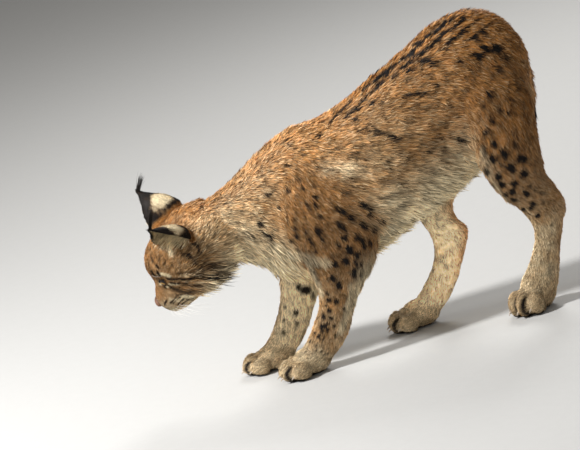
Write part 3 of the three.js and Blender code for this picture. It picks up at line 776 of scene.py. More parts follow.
def coat_depth(name):
    """How deep the skin lies under the outline of a part, at t and angle."""
    if name == "trunk":
        return lambda t, angle: 7.5 + 3 * smooth(0.5, 0.9, np.abs(angle) / np.pi)
    if name == "tail":
        return lambda t, angle: 7.0 + 0 * t
    return lambda t, angle: np.interp(t, [0, 0.25, 0.5, 1], [9, 7, 4.5, 3.5])


def paw_frame(name):
    """The turn and scale of a paw as a matrix, and its place."""
    x, y, turn, scale, tall = PAWS[name]
    return turning("Z", 180 + turn) @ np.diag([scale, scale, scale * tall]), np.array([x, y, 0.0])


def ovoid(at, size, around=32, rings=18):
    """A closed grid on an ovoid: rings from pole to pole about the X axis."""
    latitude = np.linspace(0.06, np.pi - 0.06, rings)[:, None]
    angle = circle(around)[None]
    ball = [np.cos(latitude) + 0 * angle, np.sin(latitude) * np.cos(angle), np.sin(latitude) * np.sin(angle)]
    return np.array(at) + np.stack(ball, axis=2) * size


def paw_parts(name):
    """The palm and toes of a paw, sunk by the depth of their fur."""
    matrix, place = paw_frame(name)
    return [
        closed_grid(ovoid(at, np.array(size, float) - PAW_DEPTH) @ matrix.T + place)
        for at, size in [PALM, *TOES]
    ]


def remeshed(points, faces, voxel):
    """One closed skin round closed parts that overlap: Blender's voxel remesh, its squares halved."""
    mesh = new_mesh("skin_parts", points, faces)
    parts = bpy.data.objects.new("skin_parts", mesh)
    bpy.context.scene.collection.objects.link(parts)
    join = parts.modifiers.new("join", "REMESH")
    join.mode = "VOXEL"
    join.voxel_size = voxel
    made = parts.evaluated_get(bpy.context.evaluated_depsgraph_get()).to_mesh()
    co = np.zeros(len(made.vertices) * 3, np.float32)
    made.vertices.foreach_get("co", co)
    corners = np.zeros(len(made.loops), np.int32)
    made.loops.foreach_get("vertex_index", corners)
    bpy.data.objects.remove(parts)
    bpy.data.meshes.remove(mesh)
    quads = corners.reshape(-1, 4)
    triangles = np.vstack([quads[:, [0, 1, 2]], quads[:, [0, 2, 3]]])
    order = np.argsort(np.tile(np.arange(len(quads)), 2), kind="stable")
    return co.reshape(-1, 3).astype(float) / MM - SHIFT, triangles[order]


def trunk_coat(t, angle):
    """Fur of the trunk at t and angle: length, pale and warm."""
    turn = np.abs(angle) / np.pi
    length = round_body(turn, *rows_at(TRUNK_FUR, t))
    values = rows_at(TRUNK_TONES, t)
    return length, round_body(turn, *values[:3]), round_body(turn, *values[3:])


def leg_coat(name, t, angle):
    """Fur of a leg at t and angle: length, pale and warm."""
    is_fore = "fore" in name
    outside, inside, warm, front, back = rows_at(FORELEG_COAT if is_fore else HIND_LEG_COAT, t)
    out = np.sin(angle) * OUTER[name]
    behind = smooth(0.2, 0.95, -np.cos(angle))
    pale = mix(inside, outside, smooth(-0.8, mix(-0.1, 0.3, smooth(0.2, 0.5, t)), out))
    if is_fore:
        pale = mix(pale, 0.85, behind * smooth(0.3, 0.42, t) * (1 - smooth(0.55, 0.75, t)))
    else:
        pale = mix(pale, 0.15, behind * 0.8 * smooth(0.15, 0.3, t) * (1 - smooth(0.7, 0.9, t)))
        warm = mix(warm, 1.0, behind * 0.7)
    return mix(front, back, behind), pale, warm


def body_mesh(voxel):
    """The body's skin as points and triangles: tubes and ovoids sunk under their fur, remeshed as one and
    evened out, and kept above the floor."""
    grids = []
    t, angle = np.linspace(0, 1, 90)[:, None], circle(60)[None]
    for name, tube in PARTS.items():
        grids.append(closed_grid(tube.at(t, angle, -coat_depth(name)(*np.broadcast_arrays(t, angle)))))
    for name in PAWS:
        grids += paw_parts(name)
    points, faces = remeshed(*merged(*grids), voxel)
    points = spread(points, faces, 3)
    points[:, 2] = np.maximum(points[:, 2], SKIN_RISE)
    return points, faces


def part_values(points):
    """For each part in turn and each point: the part's share, the bell exp(-(distance / reach)^2), then
    the fur's lie, its length, pale and warm, and t and angle. Fur runs along a part, and on the trunk it
    sags on the sides and below."""
    rows = len(PARTS) + 1
    shares = np.zeros((rows, len(points)))
    lies, values, places = (np.zeros((rows, len(points), n)) for n in (3, 3, 2))
    down = np.array([0, 0, -1.0])
    for k, (name, tube) in enumerate(PARTS.items()):
        t, angle, gap, along = place_on(tube, points, coat_depth(name))
        shares[k] = np.exp(-dot(gap, gap) / PART_REACH**2)
        places[k] = np.stack([t, angle], axis=1)
        if name == "trunk":
            sag = 0.5 * np.sin(np.abs(angle)) + 0.15 + 0.5 * smooth(0.55, 0.85, np.abs(angle) / np.pi)
            lies[k] = along + down * sag[:, None]
            values[k] = np.stack(trunk_coat(t, angle), axis=1)
        elif name == "tail":
            lies[k] = along
            values[k] = TAIL_COAT
        else:
            lies[k] = along + np.array([0.3, 0, 0])
            values[k] = np.stack(leg_coat(name, t, angle), axis=1)
    lay_paws(points, shares, lies, values, places)
    return shares, lies, values, places


def plain_marks(pale, warm, ragged):
    """Marks with nothing dark yet: the noise in ragged is added to pale wherever there is some pale."""
    return np.stack([0 * pale, np.clip(pale + ragged * smooth(0.02, 0.3, pale), 0, 1), warm], axis=1)


@cache
def body_surface():
    """The skin of the trunk, legs, paws and tail as one closed surface with its coat: each value is the
    mean over the parts by their shares. The folds between the legs and the trunk are evened out."""
    points, faces = body_mesh(bpy.context.scene.lynx_coat.voxel)
    skin = Surface(points, faces)
    shares, lies, values, places = part_values(points)
    skin.fields["part"] = np.argmax(shares, axis=0)
    skin.fields["places"] = places
    shares /= shares.sum(axis=0) + 1e-9
    meeting = np.minimum(shares[TRUNK_ROW], shares[LEG_ROWS].max(axis=0))
    even = smooth(0.02, 0.3, spread(meeting, faces, 12))
    points = mix(points, spread(points, faces, 36), even[:, None])
    skin.points = points
    skin.normals = point_normals(points, faces)
    length, pale, warm = np.einsum("kn,knc->cn", shares, values)
    skin.lay(unit(np.einsum("kn,knc->nc", shares, lies)), 5)
    on_trunk, feet = shares[TRUNK_ROW], shares[PAW_ROW]
    skin.fields.update(
        shares=shares,
        bright=body_brightness(places, shares),
        length=length,
        width=0.5 + 0.2 * on_trunk + 0.012 * length - 0.06 * feet,
        lift=0.3 + 0.1 * on_trunk + 0.06 * smooth(20, 34, length) - 0.06 * feet,
        dense=0.6 - 0.08 * on_trunk + 0.12 * feet,
    )
    ragged = 0.16 * noise(points, 26, 3) + 0.1 * noise(points, 9, 4)
    skin.fields["marks"] = np.clip(body_marks(skin, plain_marks(pale, warm, ragged)), 0, 1)
    return skin


def body_brightness(places, shares):
    """How bright the coat is, as painted light and shade: 1 plus each part's change by its share. There is
    painted shade on the outer side of the legs, most on the upper legs, and painted light on their inner
    side, painted shade on the haunches, a little less on the loin and behind, and painted light on the
    withers and the sides of the neck."""
    bright = np.ones(places.shape[1])
    for k, name in enumerate(PARTS):
        t, angle = places[k].T
        if name.endswith("leg"):
            out = np.sin(angle) * OUTER[name]
            upper = 1 - smooth(0.35, 0.6, t)
            inner = 0.3 if "fore" in name else 0.2 + 0.7 * smooth(0.35, 0.6, t)
            # Painted light on the inner side of the leg and painted shade on its outer side.
            change = mix(inner, -0.12 - 0.28 * upper, smooth(-0.5, 0.5, out))
        else:  # the trunk, and the tail by its own t
            turn = np.abs(angle) / np.pi
            haunch_shade = smooth(0.66, 0.9, t) * smooth(0.1, 0.45, turn)
            withers = bump(t, 0.34, 0.12) * (1 - smooth(0.25, 0.5, turn))
            neck = (1 - smooth(0.1, 0.24, t)) * bump(turn, 0.4, 0.25)
            # Painted shade on the haunches and painted light on the withers and the sides of the neck.
            change = -0.42 * haunch_shade - 0.1 * smooth(0.45, 0.6, t) + 0.4 * withers + 0.25 * neck
        bright += shares[k] * change
    return bright


def lay_paws(points, shares, lies, values, places):
    """Sets the paws' row of each array, from the paw whose ovoids are nearest: the fur runs forwards over
    a paw, aside and down, and the place is a share of its length and breadth."""
    for name in PAWS:
        matrix, place = paw_frame(name)
        local = (points - place) @ np.linalg.inv(matrix).T
        best = np.full(len(points), np.inf)
        for at, size in [PALM, *TOES]:
            sunk = np.array(size, float) - PAW_DEPTH
            far = (np.linalg.norm((local - at) / sunk, axis=1) - 1) * sunk.min()
            best = np.minimum(best, np.abs(far))
        near = np.exp(-((best / 7) ** 2)) * (1 - smooth(34, 52, points[:, 2]))
        closer = near > shares[PAW_ROW]
        front = unit(matrix[:, 0])
        aside = unit(matrix[:, 1])
        lie = front + aside * (local[:, 1:2] / 60) + np.array([0, 0, -0.3])
        where = np.stack([(local[:, 0] + 60) / 125, (local[:, 1] + 48) / 96], axis=1)
        shares[PAW_ROW] = np.where(closer, near, shares[PAW_ROW])
        for rows, new in ((lies, lie), (values, PAW_COAT), (places, where)):
            rows[PAW_ROW] = np.where(closer[:, None], new, rows[PAW_ROW])


# Marks that the photograph shows, as x and y of its pixels, then how far each reaches to both sides along
# the fur and across it, in millimetres before SPOT_GROWTH, and how dark it is. Each is repeated on the
# other side of the lynx.
THIGH_SPOTS = [
    (484, 132, 6, 5, 0.6), (493, 144, 6, 5, 1), (482, 150, 5, 4, 0.6), (490, 160, 7, 5.5, 1),
    (504, 155, 9, 5.5, 1), (516, 146, 8, 5, 0.5), (525, 147, 7, 4, 0.4), (521, 160, 6, 5.5, 0.8),
    (527, 159, 6, 5, 0.7), (510, 170, 8, 6, 1), (500, 168, 4, 3, 0.6), (483, 172, 5, 5, 1),
    (525, 176, 7, 6, 0.9), (496, 179, 6, 5.5, 1), (513, 186, 6.5, 6, 1), (500, 187, 5.5, 5.5, 1),
    (488, 187, 4, 3, 0.7), (511, 194, 5, 5.5, 1), (526, 196, 6, 5, 0.95), (531, 188, 4, 4, 0.5),
    (543, 194, 5, 4, 0.4), (503, 197, 4, 4.5, 0.8), (513, 203, 5, 4.5, 0.85), (534, 206, 5, 4.5, 0.85),
    (530, 210, 4, 5.5, 0.9), (521, 212, 4, 4.5, 0.8), (536, 218, 4, 4.5, 0.75), (544, 206, 5, 4, 0.4),
    (553, 227, 3, 3, 0.5), (527, 222, 3, 3.5, 0.4),
]
FORELEG_SPOTS = [
    (370, 210, 6, 4, 0.9), (371, 216, 8, 3.2, 1), (380, 221, 6, 3, 1), (353, 219, 8, 5, 0.8),
    (364, 225, 9, 4.5, 1), (375, 230, 7, 3.5, 1), (341, 227, 12, 5, 0.7), (359, 238, 7, 5, 1),
    (347, 240, 7, 4.5, 0.8), (365, 244, 9, 4, 1), (373, 243, 5, 3, 0.9), (351, 251, 9, 5, 0.95),
    (359, 256, 5, 4, 0.9), (346, 263, 7, 5.5, 1), (358, 265, 7, 4, 1), (363, 266, 6, 3, 0.8),
    (335, 267, 7, 4.5, 0.9), (356, 275, 8, 3.6, 1), (362, 276, 4, 2.5, 0.7), (332, 281, 6, 4, 0.8),
    (339, 287, 7, 5, 1), (326, 294, 4, 3.5, 0.7), (353, 290, 4, 3, 0.7), (327, 302, 4.5, 4, 1),
    (337, 304, 5, 4.2, 1), (328, 312, 4.2, 3.6, 1), (321, 318, 4, 3.5, 0.95), (329, 320, 3, 2.5, 0.8),
    (319, 327, 4, 3.6, 1), (326, 326, 2.5, 4, 0.7), (326, 330, 2.5, 3, 0.7), (312, 333, 2.5, 3, 0.7),
    (317, 337, 3.6, 3.4, 0.95), (322, 342, 2.2, 2.2, 0.6), (336, 328, 2.5, 2.5, 0.6),
    (345, 312, 3, 2.5, 0.6),
]
SHOULDER_DASHES = [
    (268, 156, 5, 2.5, 0.5), (275, 161, 6, 2.2, 0.6), (286, 165, 6, 2.8, 0.85), (288, 142, 5, 2, 0.6),
    (283, 138, 6, 2, 0.6), (316, 135, 8, 2.6, 0.8), (336, 147, 6, 3, 0.4), (302, 154, 8, 2.4, 0.5),
    (298, 176, 9, 2.2, 0.7), (316, 167, 7, 2.2, 0.7), (287, 189, 5, 2.2, 0.8), (302, 187, 6, 2.2, 0.8),
    (315, 184, 7, 3, 0.4), (315, 195, 7, 2.6, 0.8), (265, 193, 6, 3.4, 0.8), (276, 208, 7, 2.4, 0.6),
    (307, 207, 8, 2.8, 0.85), (316, 205, 7, 3.5, 0.6), (344, 194, 8, 4, 0.5), (343, 211, 11, 5, 0.75),
    (361, 206, 8, 5, 0.75), (320, 219, 6, 4, 0.6), (292, 229, 6, 2.6, 0.8), (294, 238, 6, 3, 0.9),
    (303, 233, 7, 2.6, 0.7), (316, 233, 11, 5, 0.6), (310, 243, 9, 3, 0.75), (323, 242, 8, 3, 0.7),
    (289, 244, 4, 4, 0.8), (315, 253, 4, 3.6, 0.7), (258, 226, 8, 5, 0.7), (262, 235, 7, 4, 0.75),
    (269, 238, 7, 4.5, 0.95), (268, 244, 6, 4, 0.7), (250, 238, 7, 4, 0.5), (338, 246, 9, 3, 0.6),
]
BACK_DASHES = [
    (422, 60, 11, 2.6, 0.9), (431, 62, 8, 3, 0.9), (407, 70, 10, 2.8, 0.9), (426, 72, 7, 2, 0.7),
    (393, 75, 7, 2.2, 0.7), (405, 80, 8, 2.6, 0.5), (458, 59, 7, 3.6, 0.7), (376, 84, 9, 3.4, 0.7),
    (405, 94, 10, 2.6, 0.9), (422, 92, 8, 2.2, 0.75), (437, 86, 6, 3, 0.7), (370, 101, 7, 2.2, 0.7),
    (378, 103, 6, 2.6, 0.7), (357, 108, 7, 2.8, 0.7), (354, 119, 7, 2.8, 0.7), (440, 50, 10, 2.6, 0.7),
    (409, 55, 8, 2.8, 0.8), (477, 38, 9, 3, 0.8), (484, 33, 6, 3.4, 0.8), (463, 30, 9, 2.4, 0.8),
    (476, 54, 9, 3.6, 0.8), (487, 48, 11, 5.5, 0.7), (498, 45, 9, 5, 0.7), (487, 93, 9, 3.4, 0.75),
    (518, 85, 6, 3, 0.5), (512, 98, 6, 3, 0.5), (511, 112, 6, 4, 0.6), (491, 123, 6, 4.5, 0.8),
    (360, 129, 6, 3, 0.6), (375, 131, 9, 3, 0.65), (394, 138, 9, 4.5, 0.8), (439, 137, 6, 2.6, 0.8),
    (462, 141, 8, 6, 0.6), (352, 153, 8, 3.4, 0.5), (426, 151, 6, 3, 0.7), (442, 152, 6, 4, 0.75),
    (406, 160, 6, 2.4, 0.7), (386, 160, 7, 2.4, 0.5), (403, 184, 6, 4, 0.45), (424, 193, 5, 4, 0.35),
    (500, 70, 12, 5, 0.5), (506, 58, 10, 4, 0.5), (470, 70, 9, 3.4, 0.5), (500, 110, 7, 4, 0.5),
    (447, 108, 10, 4, 0.4), (345, 131, 7, 2.6, 0.4), (481, 108, 8, 4, 0.5), (466, 92, 8, 3, 0.5),
    (452, 75, 7, 2.6, 0.5),
]
BACK_STRIPES = [
    ([(464, 14), (452, 23), (438, 34), (424, 46), (410, 58), (398, 68)], 3.6, 1.0),
    ([(450, 15), (438, 25), (426, 36), (412, 47), (399, 58), (386, 68), (372, 78)], 3.6, 1.0),
    ([(443, 18), (434, 26), (423, 36), (410, 44)], 3.2, 0.9),
    ([(394, 62), (384, 70), (371, 79), (359, 89)], 4.5, 0.8),
    ([(347, 100), (335, 111), (326, 119)], 4.5, 0.6),
    ([(381, 81), (367, 91), (353, 104), (340, 117)], 3.6, 0.6),
    ([(478, 15), (466, 24), (453, 34), (441, 45)], 3.2, 0.8), ([(490, 20), (478, 28), (466, 38)], 2.6, 0.6),
    ([(417, 62), (426, 59), (434, 63)], 3.4, 0.9), ([(404, 92), (414, 93), (424, 92)], 3.0, 0.7),
    ([(478, 53), (488, 48), (500, 45)], 5.0, 0.8),
    ([(352, 127), (368, 130), (384, 133), (396, 139)], 3.6, 0.55),
]
FAR_LEG_SPOTS = [
    (308, 292, 7, 9, 0.75), (300, 290, 5, 5, 0.6), (316, 297, 6, 6, 0.5), (282, 308, 4, 3.5, 0.55),
    (297, 315, 5, 4, 0.6), (281, 321, 4, 4, 0.5), (298, 325, 5, 4, 0.5), (281, 334, 4, 4, 0.5),
    (290, 326, 4, 3, 0.4), (289, 340, 3, 3, 0.4),
]
# The patches behind the shoulder and on the side of the neck are partly painted highlight; the others are
# pale fur of the lower flank.
PALE_PATCHES = [
    (344, 172, 44, 15, 0.5), (222, 222, 34, 22, 0.35), (462, 163, 34, 20, 0.75), (436, 183, 40, 22, 0.6),
    (395, 204, 44, 18, 0.6), (486, 163, 16, 6, 0.6),
]
PALE_LINES = [
    ([(270, 246), (280, 249), (291, 253)], 10, 0.6), ([(294, 254), (308, 260), (322, 263)], 9, 0.65),
    ([(304, 262), (310, 276), (317, 292)], 6.5, 0.7), ([(355, 284), (351, 306), (344, 330)], 4.5, 0.8),
    ([(478, 150), (487, 180), (503, 206)], 6, 0.5),
]
FRINGE_LENGTH = 12  # by which a pale line's fur is longer
SPOT_GROWTH = 1.22  # the tufts round an oval hide its edge
NEAR_FORE = ("left_foreleg", "trunk")
NEAR_HIND = ("left_hind_leg", "trunk")
NEAR_SIDE = ("left_foreleg", "trunk", "left_hind_leg")
DARK_OVALS = [
    (THIGH_SPOTS, NEAR_HIND),
    (FORELEG_SPOTS, NEAR_FORE),
    (SHOULDER_DASHES, NEAR_FORE),
    (BACK_DASHES, NEAR_HIND),
    (FAR_LEG_SPOTS, ("right_foreleg",)),
]
OTHER_SIDE = {
    "left_foreleg": "right_foreleg", "left_hind_leg": "right_hind_leg",
    "right_foreleg": "left_foreleg", "right_hind_leg": "left_hind_leg",
}


def camera_axes():
    """The camera's way right, up and back: level and upright axes turned by the roll."""
    rise, roll = np.radians(CAMERA_RISE), np.radians(CAMERA_ROLL)
    level, upright = np.array([1.0, 0, 0]), np.array([0, np.sin(rise), np.cos(rise)])
    right = level * np.cos(roll) - upright * np.sin(roll)
    above = level * np.sin(roll) + upright * np.cos(roll)
    return right, above, np.array([0, -np.cos(rise), np.sin(rise)])


def pixels(points):
    """Where points of the maker's frame show in the photograph, and how near they are."""
    stage = bpy.context.scene.lynx_stage
    right, above, back = camera_axes()
    away = (np.asarray(points) - CAMERA_AIM) * MM
    depth = stage.distance - away @ back
    scale = PHOTO_SIZE[0] / stage.width * stage.distance / depth
    x = PHOTO_SIZE[0] / 2 + away @ right * scale
    y = PHOTO_SIZE[1] / 2 - away @ above * scale
    return np.stack([x, y], axis=-1), -depth


@cache
def front_faces(name):
    """A fine net on the outline of a part that faces the camera: t, angle, points, pixels and nearness."""
    tube = HEAD_TUBE if name == "head" else PARTS[name]
    angles = np.linspace(-np.pi, np.pi, 161)[:-1]
    t, angle = (x.ravel() for x in np.meshgrid(np.linspace(0.005, 0.995, 240), angles, indexing="ij"))
    points = tube.at(t, angle)
    out = points - tube.middle(t)
    if name == "head":
        points, out = from_head(points), out @ HEAD_AXES.T
    shown = dot(out, camera_axes()[2]) > 0
    where, near = pixels(points[shown])
    return t[shown], angle[shown], where, near


def seen_at(spot, names):
    """The part, t and angle of what shows at a pixel: of the net's points within two pixels the one that
    is nearest to the camera, or else the closest in the picture."""
    best = None
    for name in names:
        t, angle, where, near = front_faces(name)
        off = np.linalg.norm(where - spot, axis=1)
        close = off < 2
        score = np.where(close, near, -100 - off)
        k = int(np.argmax(score))
        if best is None or score[k] > best[0]:
            best = (score[k], name, t[k], angle[k])
    return best[1:]


def oval_marks(skin, spots, names, edge=0.35):
    """How much each point is covered by ovals, which lie along the fur at the pixels of spots and again
    on the other side: 1 inside, falling over the edge at a distance of 1 in units of the two reaches,
    which noise makes ragged. A point is taken to be where the outer part of its tuft lies."""
    normals, lie = skin.normals, skin.fields["lie"]
    points = skin.along_fur(0.6)
    cover = np.zeros(len(points))
    wobble = 0.22 * noise(points, 5, 12)
    for x, y, long, wide, strength in spots:
        name, t, angle = seen_at((x, y), names)
        for part, turn in ((name, angle), (OTHER_SIDE.get(name, name), -angle)):
            middle = PARTS[part].at(t, turn)
            near = np.flatnonzero(np.linalg.norm(points - middle, axis=1) < 2.5 * long + 14)
            if not len(near):
                continue
            way = points[near] - middle
            first = near[np.argmin(dot(way, way))]
            along, out = lie[first], normals[first]
            across = np.cross(out, along)
            far = np.hypot(way @ along / long, way @ across / wide) / SPOT_GROWTH + wobble[near]
            on_side = normals[near] @ out > 0.1
            value = strength * (1 - smooth(1 - edge, 1 + edge, far)) * on_side
            cover[near] = np.maximum(cover[near], value)
    return cover


def marked_path(points, places):
    """The curve through the points that lie nearest to each of a few places."""
    rows = [points[np.argmin(np.linalg.norm(points - place, axis=1))] for place in places]
    return spline(np.array(rows), np.linspace(0, 1, 6 * len(rows)))


def line_marks(skin, lines, names):
    """How much each point is covered by lines through pixels of the photograph and the same lines on the
    other side, with ragged edges. A line is its pixels, its half width in millimetres and its strength."""
    points = skin.along_fur(0.4)
    cover = np.zeros(len(points))
    wobble = 1 + 0.4 * noise(points, 7, 14)
    for line, width, strength in lines:
        places = [seen_at(spot, names) for spot in line]
        for side in (1, -1):
            path = marked_path(points, [
                PARTS[name if side > 0 else OTHER_SIDE.get(name, name)].at(t, side * angle, -5)
                for name, t, angle in places
            ])
            near = np.flatnonzero(np.linalg.norm(points - path.mean(axis=0), axis=1) < 130)
            far, _ = away_from(points[near], path)
            value = strength * (1 - smooth(0.5, 1.5, far / width * wobble[near]))
            cover[near] = np.maximum(cover[near], value)
    return cover


def fleck_marks(skin, wanted, spacing, long, wide, seed):
    """Small dark flecks at random over the points that are wanted: seven in ten cells of a lattice have
    a seeded centre, and a point is dark where it is close to one, by long along the fur and wide across."""
    cell = np.floor(skin.points / spacing).astype(np.int64) + 1000
    cover = np.zeros(len(skin.points))
    for step in np.ndindex(3, 3, 3):
        beside = cell + np.array(step) - 1
        jitter = np.stack([draws(beside, seed + k) for k in range(3)], axis=1)
        centre = (beside - 1000 + 0.2 + 0.6 * jitter) * spacing
        way = skin.points - centre
        along = dot(way, skin.fields["lie"])
        across = np.linalg.norm(way - skin.fields["lie"] * along[:, None], axis=1)
        far = np.hypot(along / long, across / wide)
        cover = np.maximum(cover, (1 - smooth(0.6, 1.3, far)) * (draws(beside, seed + 9) < 0.7))
    return cover * wanted


def leg_flecks(skin):
    """Flecks on the outer side of the legs: all over the lower foreleg and faint on the lower hind leg."""
    dark = np.zeros(len(skin.points))
    for k, name in enumerate(PARTS):
        if name.endswith("leg"):
            t, angle = skin.fields["places"][k].T
            lower = smooth(0.36, 0.55, t) if "fore" in name else smooth(0.42, 0.5, t) * 0.3
            wanted = skin.fields["shares"][k] * lower * smooth(-0.3, 0.4, np.sin(angle) * OUTER[name])
            dark = np.maximum(dark, fleck_marks(skin, wanted, 10.5, 3.7, 3.1, 51 + k))
    return dark


def toe_gap_shade_and_soles(skin):
    """Painted shade in the gaps between the toes, as bells across the front of each paw, and the soles."""
    points = skin.points
    dark = smooth(0.4, 0.9, -skin.normals[:, 2]) * (1 - smooth(3, 6, points[:, 2]))
    for name in PAWS:
        matrix, place = paw_frame(name)
        x, y, z = ((points - place) @ np.linalg.inv(matrix).T).T
        for gap in TOE_GAPS:
            # Painted shade in the cleft between two toes.
            cleft_shade = bump(y, gap, 2.0) * smooth(24, 34, x) * (1 - smooth(30, 42, z))
            near = (np.abs(y) < 60) * (x < 80) * (z < 50)
            dark = np.maximum(dark, 0.85 * cleft_shade * near)
    return dark


def body_marks(skin, marks):
    """Adds the marks of the body: the spots and dashes that show in the photograph and the paler fur
    between them, flecks where it shows many small ones, the lines of the back, the tip of the tail, painted
    shade in the gaps between the toes, and the soles. Each is the greatest of what covers a point, and where
    a pale fringe shows the fur is longer too."""
    points, shares, places = skin.points, skin.fields["shares"], skin.fields["places"]
    dark = marks[:, 0]
    for spots, names in DARK_OVALS:
        dark = np.maximum(dark, oval_marks(skin, spots, names))
    patches = oval_marks(skin, PALE_PATCHES, ("trunk",), 0.9) * (1 + 0.5 * noise(points, 11, 18))
    fringe = line_marks(skin, PALE_LINES, NEAR_SIDE)
    marks[:, 1] = np.maximum(np.maximum(marks[:, 1], patches), fringe)
    skin.fields["length"] += FRINGE_LENGTH * fringe
    dark = np.maximum(dark * (1 - 0.5 * fringe), line_marks(skin, BACK_STRIPES, ("trunk",)))
    t, angle = places[TRUNK_ROW].T
    upper = shares[TRUNK_ROW] + 0.7 * shares[LEFT_HIND_ROW] + 0.7 * shares[RIGHT_HIND_ROW]
    upper = upper * (1 - smooth(0.55, 0.7, np.abs(angle) / np.pi)) * smooth(0.2, 0.3, t)
    dark = np.maximum(dark, 0.5 * fleck_marks(skin, upper, 22, 15, 1.8, 31))
    dark = np.maximum(dark, leg_flecks(skin))
    feet = shares[PAW_ROW] * smooth(14, 26, points[:, 2])
    dark = np.maximum(dark, 0.35 * fleck_marks(skin, feet, 12, 2.6, 2, 71))
    tip = smooth(0.5, 0.66, places[TAIL_ROW, :, 0] + 0.05 * noise(points, 9, 19))
    dark = np.maximum(dark, shares[TAIL_ROW] * tip)
    marks[:, 0] = smooth(0.08, 0.75, np.maximum(dark, toe_gap_shade_and_soles(skin)))
    return marks


# The head. A point's turn is its angle from the upper line as a share of half a turn.
# t, then the length of the fur at the top, the side and below.
HEAD_FUR = [
    (0.0, 2.5, 2.5, 3),
    (0.12, 3, 3, 4),
    (0.25, 4, 4, 7),
    (0.36, 7, 5, 12),
    (0.45, 8, 7, 14),
    (0.55, 8, 9, 17),
    (0.64, 9, 13, 24),
    (0.75, 11, 16, 28),
    (0.9, 12, 18, 28),
    (1.0, 13, 18, 28),
]
# t, then pale at the top, the side and below, then warm likewise.
# The paler sides of the back of the head, from t 0.82 on, are partly painted light.
HEAD_TONES = [
    (0.0, 0.06, 0.7, 1.0, 0.9, 0.5, 0.2),
    (0.14, 0.04, 0.6, 1.0, 1.0, 0.6, 0.2),
    (0.26, 0.04, 0.3, 0.98, 1.0, 0.7, 0.2),
    (0.33, 0.08, 0.15, 0.95, 0.9, 0.6, 0.2),
    (0.42, 0.08, 0.14, 0.98, 0.8, 0.7, 0.2),
    (0.55, 0.06, 0.12, 0.95, 0.85, 0.65, 0.2),
    (0.7, 0.05, 0.16, 0.95, 0.95, 0.55, 0.3),
    (0.82, 0.05, 0.3, 0.9, 1.0, 0.5, 0.3),
    (1.0, 0.1, 0.4, 0.85, 0.95, 0.5, 0.3),
]
RUFF_LIE = np.array([-0.62, 0.12, -0.78])  # on the left side, in the head's frame
RUFF_LENGTH = 46


def head_depth(t, angle):
    """How deep the skin of the head lies under the outline of its fur."""
    turn = np.abs(angle) / np.pi
    depth = np.interp(t, [0, 0.2, 0.45, 0.7, 1], [1.5, 2, 3, 5, 8])
    depth = depth + 2 * smooth(0.45, 0.7, turn) * smooth(0.3, 0.6, t)
    return depth + 3 * smooth(0.6, 0.85, turn) * bump(t, 0.2, 0.12)


def eye_frame(side):
    """The middle of an eye, the way it looks, the way to its outer corner and the way up, in the head's
    frame. side is 1 on the left."""
    look = unit(EYE_LOOK * (1, side, 1))
    out = unit(np.cross((0, 0, 1), look)) * side
    up = np.cross(look, out) * side
    tilt = np.radians(EYE_TILT)
    out, up = out * np.cos(tilt) + up * np.sin(tilt), up * np.cos(tilt) - out * np.sin(tilt)
    return EYE_AT * (1, side, 1), look, out, up


def opening_at(across, rise):
    """Where a place is against the opening between the lids: 0 in the middle, 1 on the rim. The rim is
    two arcs that meet at the corners."""
    wide, above, below = LID_OPENING
    high = np.where(rise > 0, above, below)
    return np.abs(across / wide) ** 1.7 + np.abs(rise / high) ** 1.25


def seat_eyes(points):
    """Lifts the face over the eyeballs and opens it between the lids: near an eye a point's distance from
    the eye's middle is smoothly the greater of its own and the ball's, and inside the opening it sinks."""
    for side in (1, -1):
        at, look, out, up = eye_frame(side)
        way = points - at
        far = np.linalg.norm(way, axis=1)
        ahead = dot(way, look) / np.maximum(far, 1e-6)
        ball = EYE_RADIUS + FACE_OVER_EYE
        soft = 1.6
        lifted = ball + soft * np.logaddexp(0, (far - ball) / soft)
        facing = smooth(0.15, 0.5, ahead)
        far_now = mix(far, lifted, facing * (1 - smooth(24, 34, far)))
        inside = 1 - smooth(0.8, 1.15, opening_at(dot(way, out), dot(way, up)))
        far_now = mix(far_now, EYE_RADIUS - OPENING_DEPTH, inside * smooth(0.2, 0.5, ahead) * (far < 24))
        points = at + way * (far_now / np.maximum(far, 1e-6))[:, None]
    return points


def mouth_path(side):
    """The line between the lips on the head's outline, from under the nose to a corner."""
    s = np.linspace(0, 1, 30)
    return HEAD_TUBE.at(mix(0.02, 0.34, s), side * np.pi * mix(0.86, 0.7, s))


def away_from(points, path):
    """How far each point is from a line through points, and how far along the line the nearest place is,
    from 0 to 1."""
    best, where = np.full(len(points), np.inf), np.zeros(len(points))
    for k, (a, b) in enumerate(zip(path[:-1], path[1:])):
        leg = b - a
        s = np.clip((points - a) @ leg / max(leg @ leg, 1e-9), 0, 1)
        far = np.linalg.norm(points - a - s[:, None] * leg, axis=1)
        where = np.where(far < best, (k + s) / (len(path) - 1), where)
        best = np.minimum(best, far)
    return best, where


def head_mesh():
    """The skin of the head as a fine grid on its tube, closer about the eyes, sunk under the fur, with
    the mouth's line pressed in between two low lips and the eyes seated. Returns points, triangles, t,
    angle and the way along the tube at each point."""
    t = spaced(150, 0, 1, (0.43, 0.07, 1.6), (0.12, 0.1, 0.8))
    angle = spaced(221, -np.pi, np.pi, (-1.08, 0.3, 1.6), (1.08, 0.3, 1.6))[:-1]
    t, angle = np.meshgrid(t, angle, indexing="ij")
    points, faces = closed_grid(HEAD_TUBE.at(t, angle, -head_depth(t, angle)))
    along, _ = HEAD_TUBE.slopes(t, angle)
    along = np.vstack([along.reshape(-1, 3), [[1, 0, 0], [-1, 0, 0]]])
    t = np.append(t.ravel(), [0, 1])
    angle = np.append(angle.ravel(), [0, 0])
    for side in (1, -1):
        far, _ = away_from(points, mouth_path(side))
        inwards = unit(HEAD_TUBE.middle(t) - points)
        points = points + inwards * (2.6 * bump(far, 0, 1.9) - 0.9 * bump(far, 3.6, 1.8))[:, None]
    return seat_eyes(points), faces, t, angle, along


